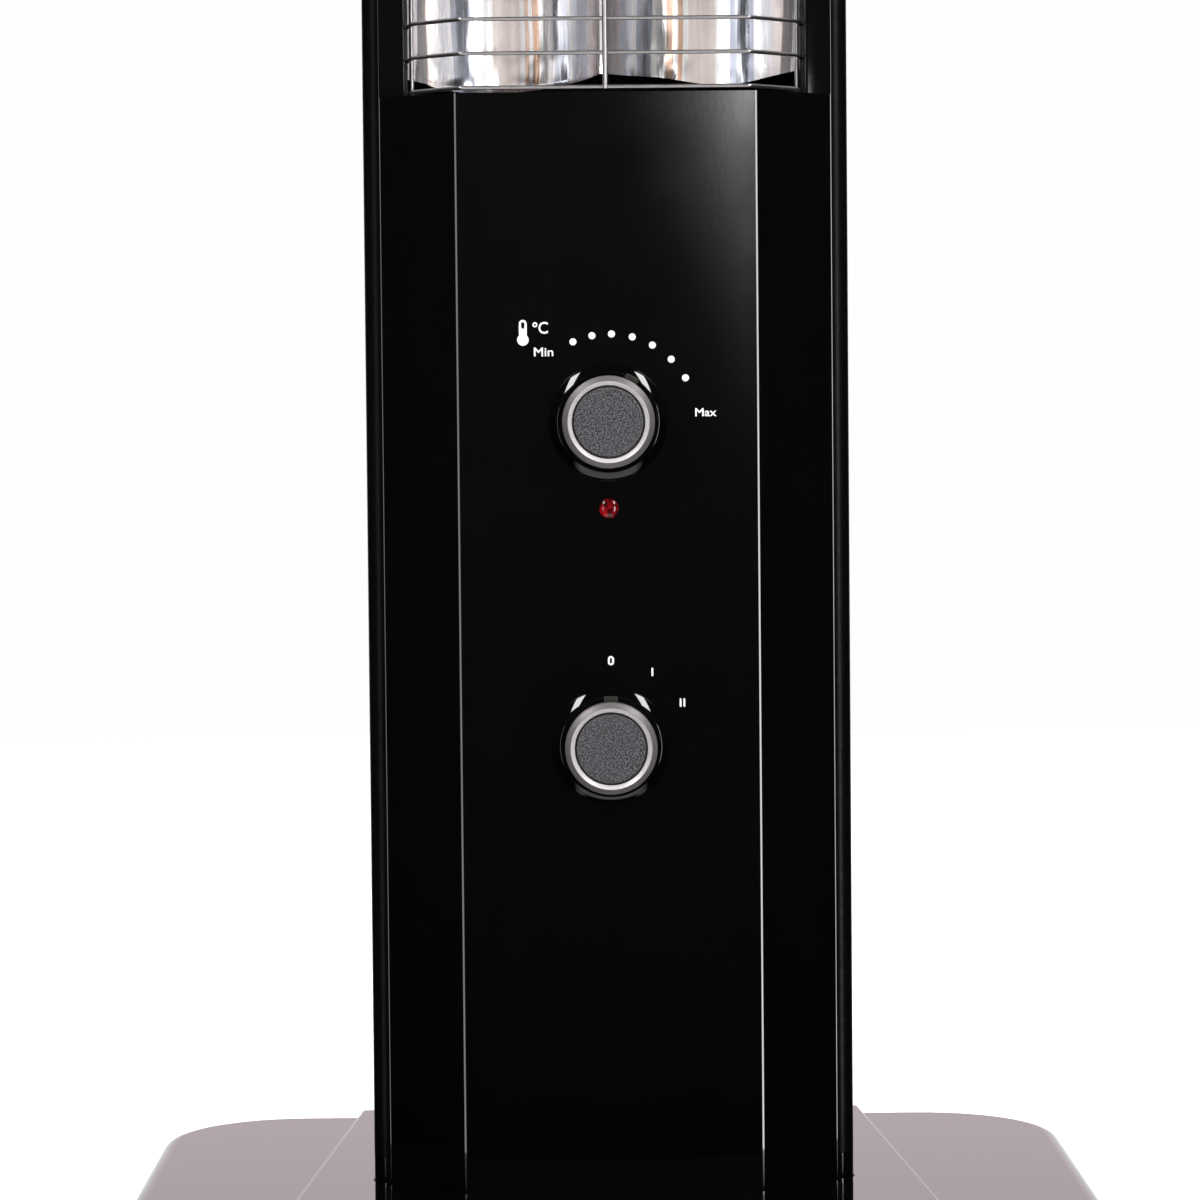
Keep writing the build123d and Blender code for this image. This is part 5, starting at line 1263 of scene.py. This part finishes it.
def softbox(name, place, target, size, radiance, spin):
    """Area light that points at a target, spun about its own axis, and stays out of the picture."""
    data = bpy.data.lights.new(name, "AREA")
    data.shape = "RECTANGLE"
    data.size, data.size_y = size
    data.energy = radiance * math.pi * size[0] * size[1]
    light = placed(name, data)
    light.location = place
    aim = (Vector(target) - Vector(place)).to_track_quat("-Z", "Y").to_matrix()
    light.rotation_euler = (aim @ Matrix.Rotation(math.radians(spin), 3, "Z")).to_euler()
    light.visible_camera = False
    return light


def add_lights():
    """Two tall lights for the collars, an overhead light and a fill that falls on the bright metal alone."""
    lights = {light[0]: softbox(*light) for light in SOFTBOXES}
    lights["overhead"].visible_glossy = False
    lit = bpy.data.collections.new("lit_by_fill")
    for name in FILLED:
        lit.objects.link(bpy.data.objects[name])
    lights["bright_fill"].light_linking.receiver_collection = lit


def strip_lights(turn, z):
    """Two tall strips, which the bevels mirror as fine bright lines."""
    strips = []
    for low, high, power in STRIPS:
        across = window(turn, math.radians(low), math.radians(high), STRIP_SOFT)
        strips.append(product(across, window(z, *STRIP_RISE), power))
    return strips


def falling(value, edge, width):
    """How far a value is below an edge, as a negative number of widths, and nought above it."""
    share = maths("DIVIDE", maths("SUBTRACT", value, edge), width)
    return maths("MINIMUM", share, 0.0)


def sheen(turn, z):
    """Soft glow in front that the raised face mirrors at its upper right."""
    side = falling(turn, SHEEN_TURN, SHEEN_WIDTH)
    rise = falling(z, SHEEN_RISE, SHEEN_HEIGHT)
    glow = maths("EXPONENT", maths("ADD", side, rise))
    across = window(turn, SHEEN_START, SHEEN_END, SHEEN_SIDE_SOFT)
    upright = window(z, SHEEN_START, SHEEN_TOP, SHEEN_TOP_SOFT)
    return product(glow, across, upright, SHEEN_POWER)


def low_panel(ahead, z):
    """Light from below the front, which the collars' lower crests mirror."""
    toward = maths("ADD", product(ahead, PANEL_WAY[0]), product(z, PANEL_WAY[1]))
    return ranged(toward, 0.0, PANEL_POWER, *PANEL_EDGE)


def gloom(y, z):
    """Faint light in front that grows upward."""
    return product(ranged(z, *GLOOM_POWERS, *GLOOM_RISE), ranged(y, 1.0, 0.3, *GLOOM_AHEAD))


def add_world():
    """Studio: dark in front and bright behind. The camera itself sees it as plain white."""
    world = bpy.data.worlds.new("studio")
    bpy.context.scene.world = world
    world.use_nodes = True
    shine = world.node_tree.nodes["Background"]
    split = new_node(shine, "SeparateXYZ")
    feed(split, Vector=new_node(shine, "TexCoord").outputs["Generated"])
    x, y, z = split.outputs
    ahead = product(y, -1.0)
    turn = maths("ARCTAN2", x, ahead)
    room = ranged(y, 0.0, 1.0, *BEHIND_EDGE)
    parts = [gloom(y, z), low_panel(ahead, z), sheen(turn, z)]
    for part in parts + strip_lights(turn, z):
        room = maths("MAXIMUM", room, part)
    seen = new_node(shine, "LightPath").outputs["Is Camera Ray"]
    unseen = ranged(seen, 1.0, 0.0, 0.0, 1.0)
    strength = maths("MAXIMUM", product(room, unseen), seen)
    behind = ranged(y, 0.0, 1.0, *BACKDROP_EDGE)
    backdrop = product(window(z, *BACKDROP_RISE), behind, unseen)
    feed(shine, Strength=strength, Color=mixed(backdrop, ROOM_TINT, BACKDROP_TINT))
    bpy.context.scene.view_settings.view_transform = "Standard"


def add_stage():
    """Pale floor under the feet."""
    half = FLOOR_HALF
    corners = [Vector(p) for p in ((-half, -half), (half, -half), (half, half), (-half, half))]
    floor = new_piece("floor", lying(corners, 0.0), [(0, 1, 2, 3)])
    floor.data.materials.append(FINISH["floor_pale"])
    floor.visible_glossy = False


# Build
def dress_housing():
    """Dresses the covers, the rear shell, the caps, the base and the collars."""
    dress(front_panel(), "gloss_black", "front_panel")
    line_frame(dress(window_frame(), "gloss_black", "window_frame"))
    dress(rear_shell(), "shell_black", "rear_shell")
    dress(cap("bottom_cap_skin", SEAM_Z, COLUMN_Z), "gloss_black", "bottom_cap")
    dress(cap("top_cap_skin", TOP_SEAM_Z, COLUMN_TOP_Z), "gloss_black", "top_cap")
    paint_crease_highlights(dress(base_shell(), "gloss_black", "base_shell"))
    dress(join("collars", [collar(THERMOSTAT_Z), collar(POWER_Z)]), "gloss_black", "knob_bezels")


def dress_dial(dial, z):
    """Dresses one dial: knob, ring, ring bevel, pointer and disc."""
    body = dial + "_dial"
    dress(knob(dial + "_knob_skin", z), "knob_dark", dial + "_knob", body=body)
    dress(knob_ring(dial + "_ring_skin", z), "ring_silver", dial + "_ring", body=body)
    # The bevel's lighter silver is a painted highlight.
    dress(ring_bevel_highlight(dial + "_bevel", z), "bevel_highlight_silver", body=body, slot="ring_silver")
    tab = pointer(dial + "_pointer", z, math.radians(REST_TURNS[dial]))
    dress(tab, "pointer_olive", body=body, slot="ring_silver")
    dress(knob_disc(dial + "_disc", z), "insert_dark", dial + "_insert", body=body)


def dress_window():
    """Dresses the guard, the reflector and the two clear tubes."""
    dress(guard_wires(), "guard_chrome", "guard_wires")
    dress(guard_uprights(), "guard_chrome", "guard_uprights")
    dress(reflector(), "reflector_bright", "reflector")
    for side in ("left", "right"):
        dress(heater_tube("clear_tube_" + side, "quartz_tube_" + side), "quartz", "quartz_tube_" + side)


def paint_nodes():
    """Gives every CAD node that stays the finish of its slot; the heat shield is painted dark instead, as
    painted shade in the gap below the reflector.
    """
    slots = {part["node"]: part["material_slot"] for part in frame["record"]["subparts"]}
    for node, piece in frame["nodes"].items():
        for slot in piece.material_slots:
            # The heat shield gets painted shade instead of its slot's finish.
            slot.material = FINISH["shield_painted_shade" if node == "heat_shield" else slots[node]]


dress_housing()
dress_dial("thermostat", THERMOSTAT_Z)
dress_dial("power", POWER_Z)
dress(lamp_lens(), "lamp_red", "lamp_lens")
dress_window()
dress(dial_marks(), "print_white", slot="gloss_black")
dress(switch_marks(), "print_white", slot="gloss_black")
dress(post_screws(), "steel_bright", "shell_screws")
paint_nodes()
add_stage()
add_camera()
add_world()
add_lights()
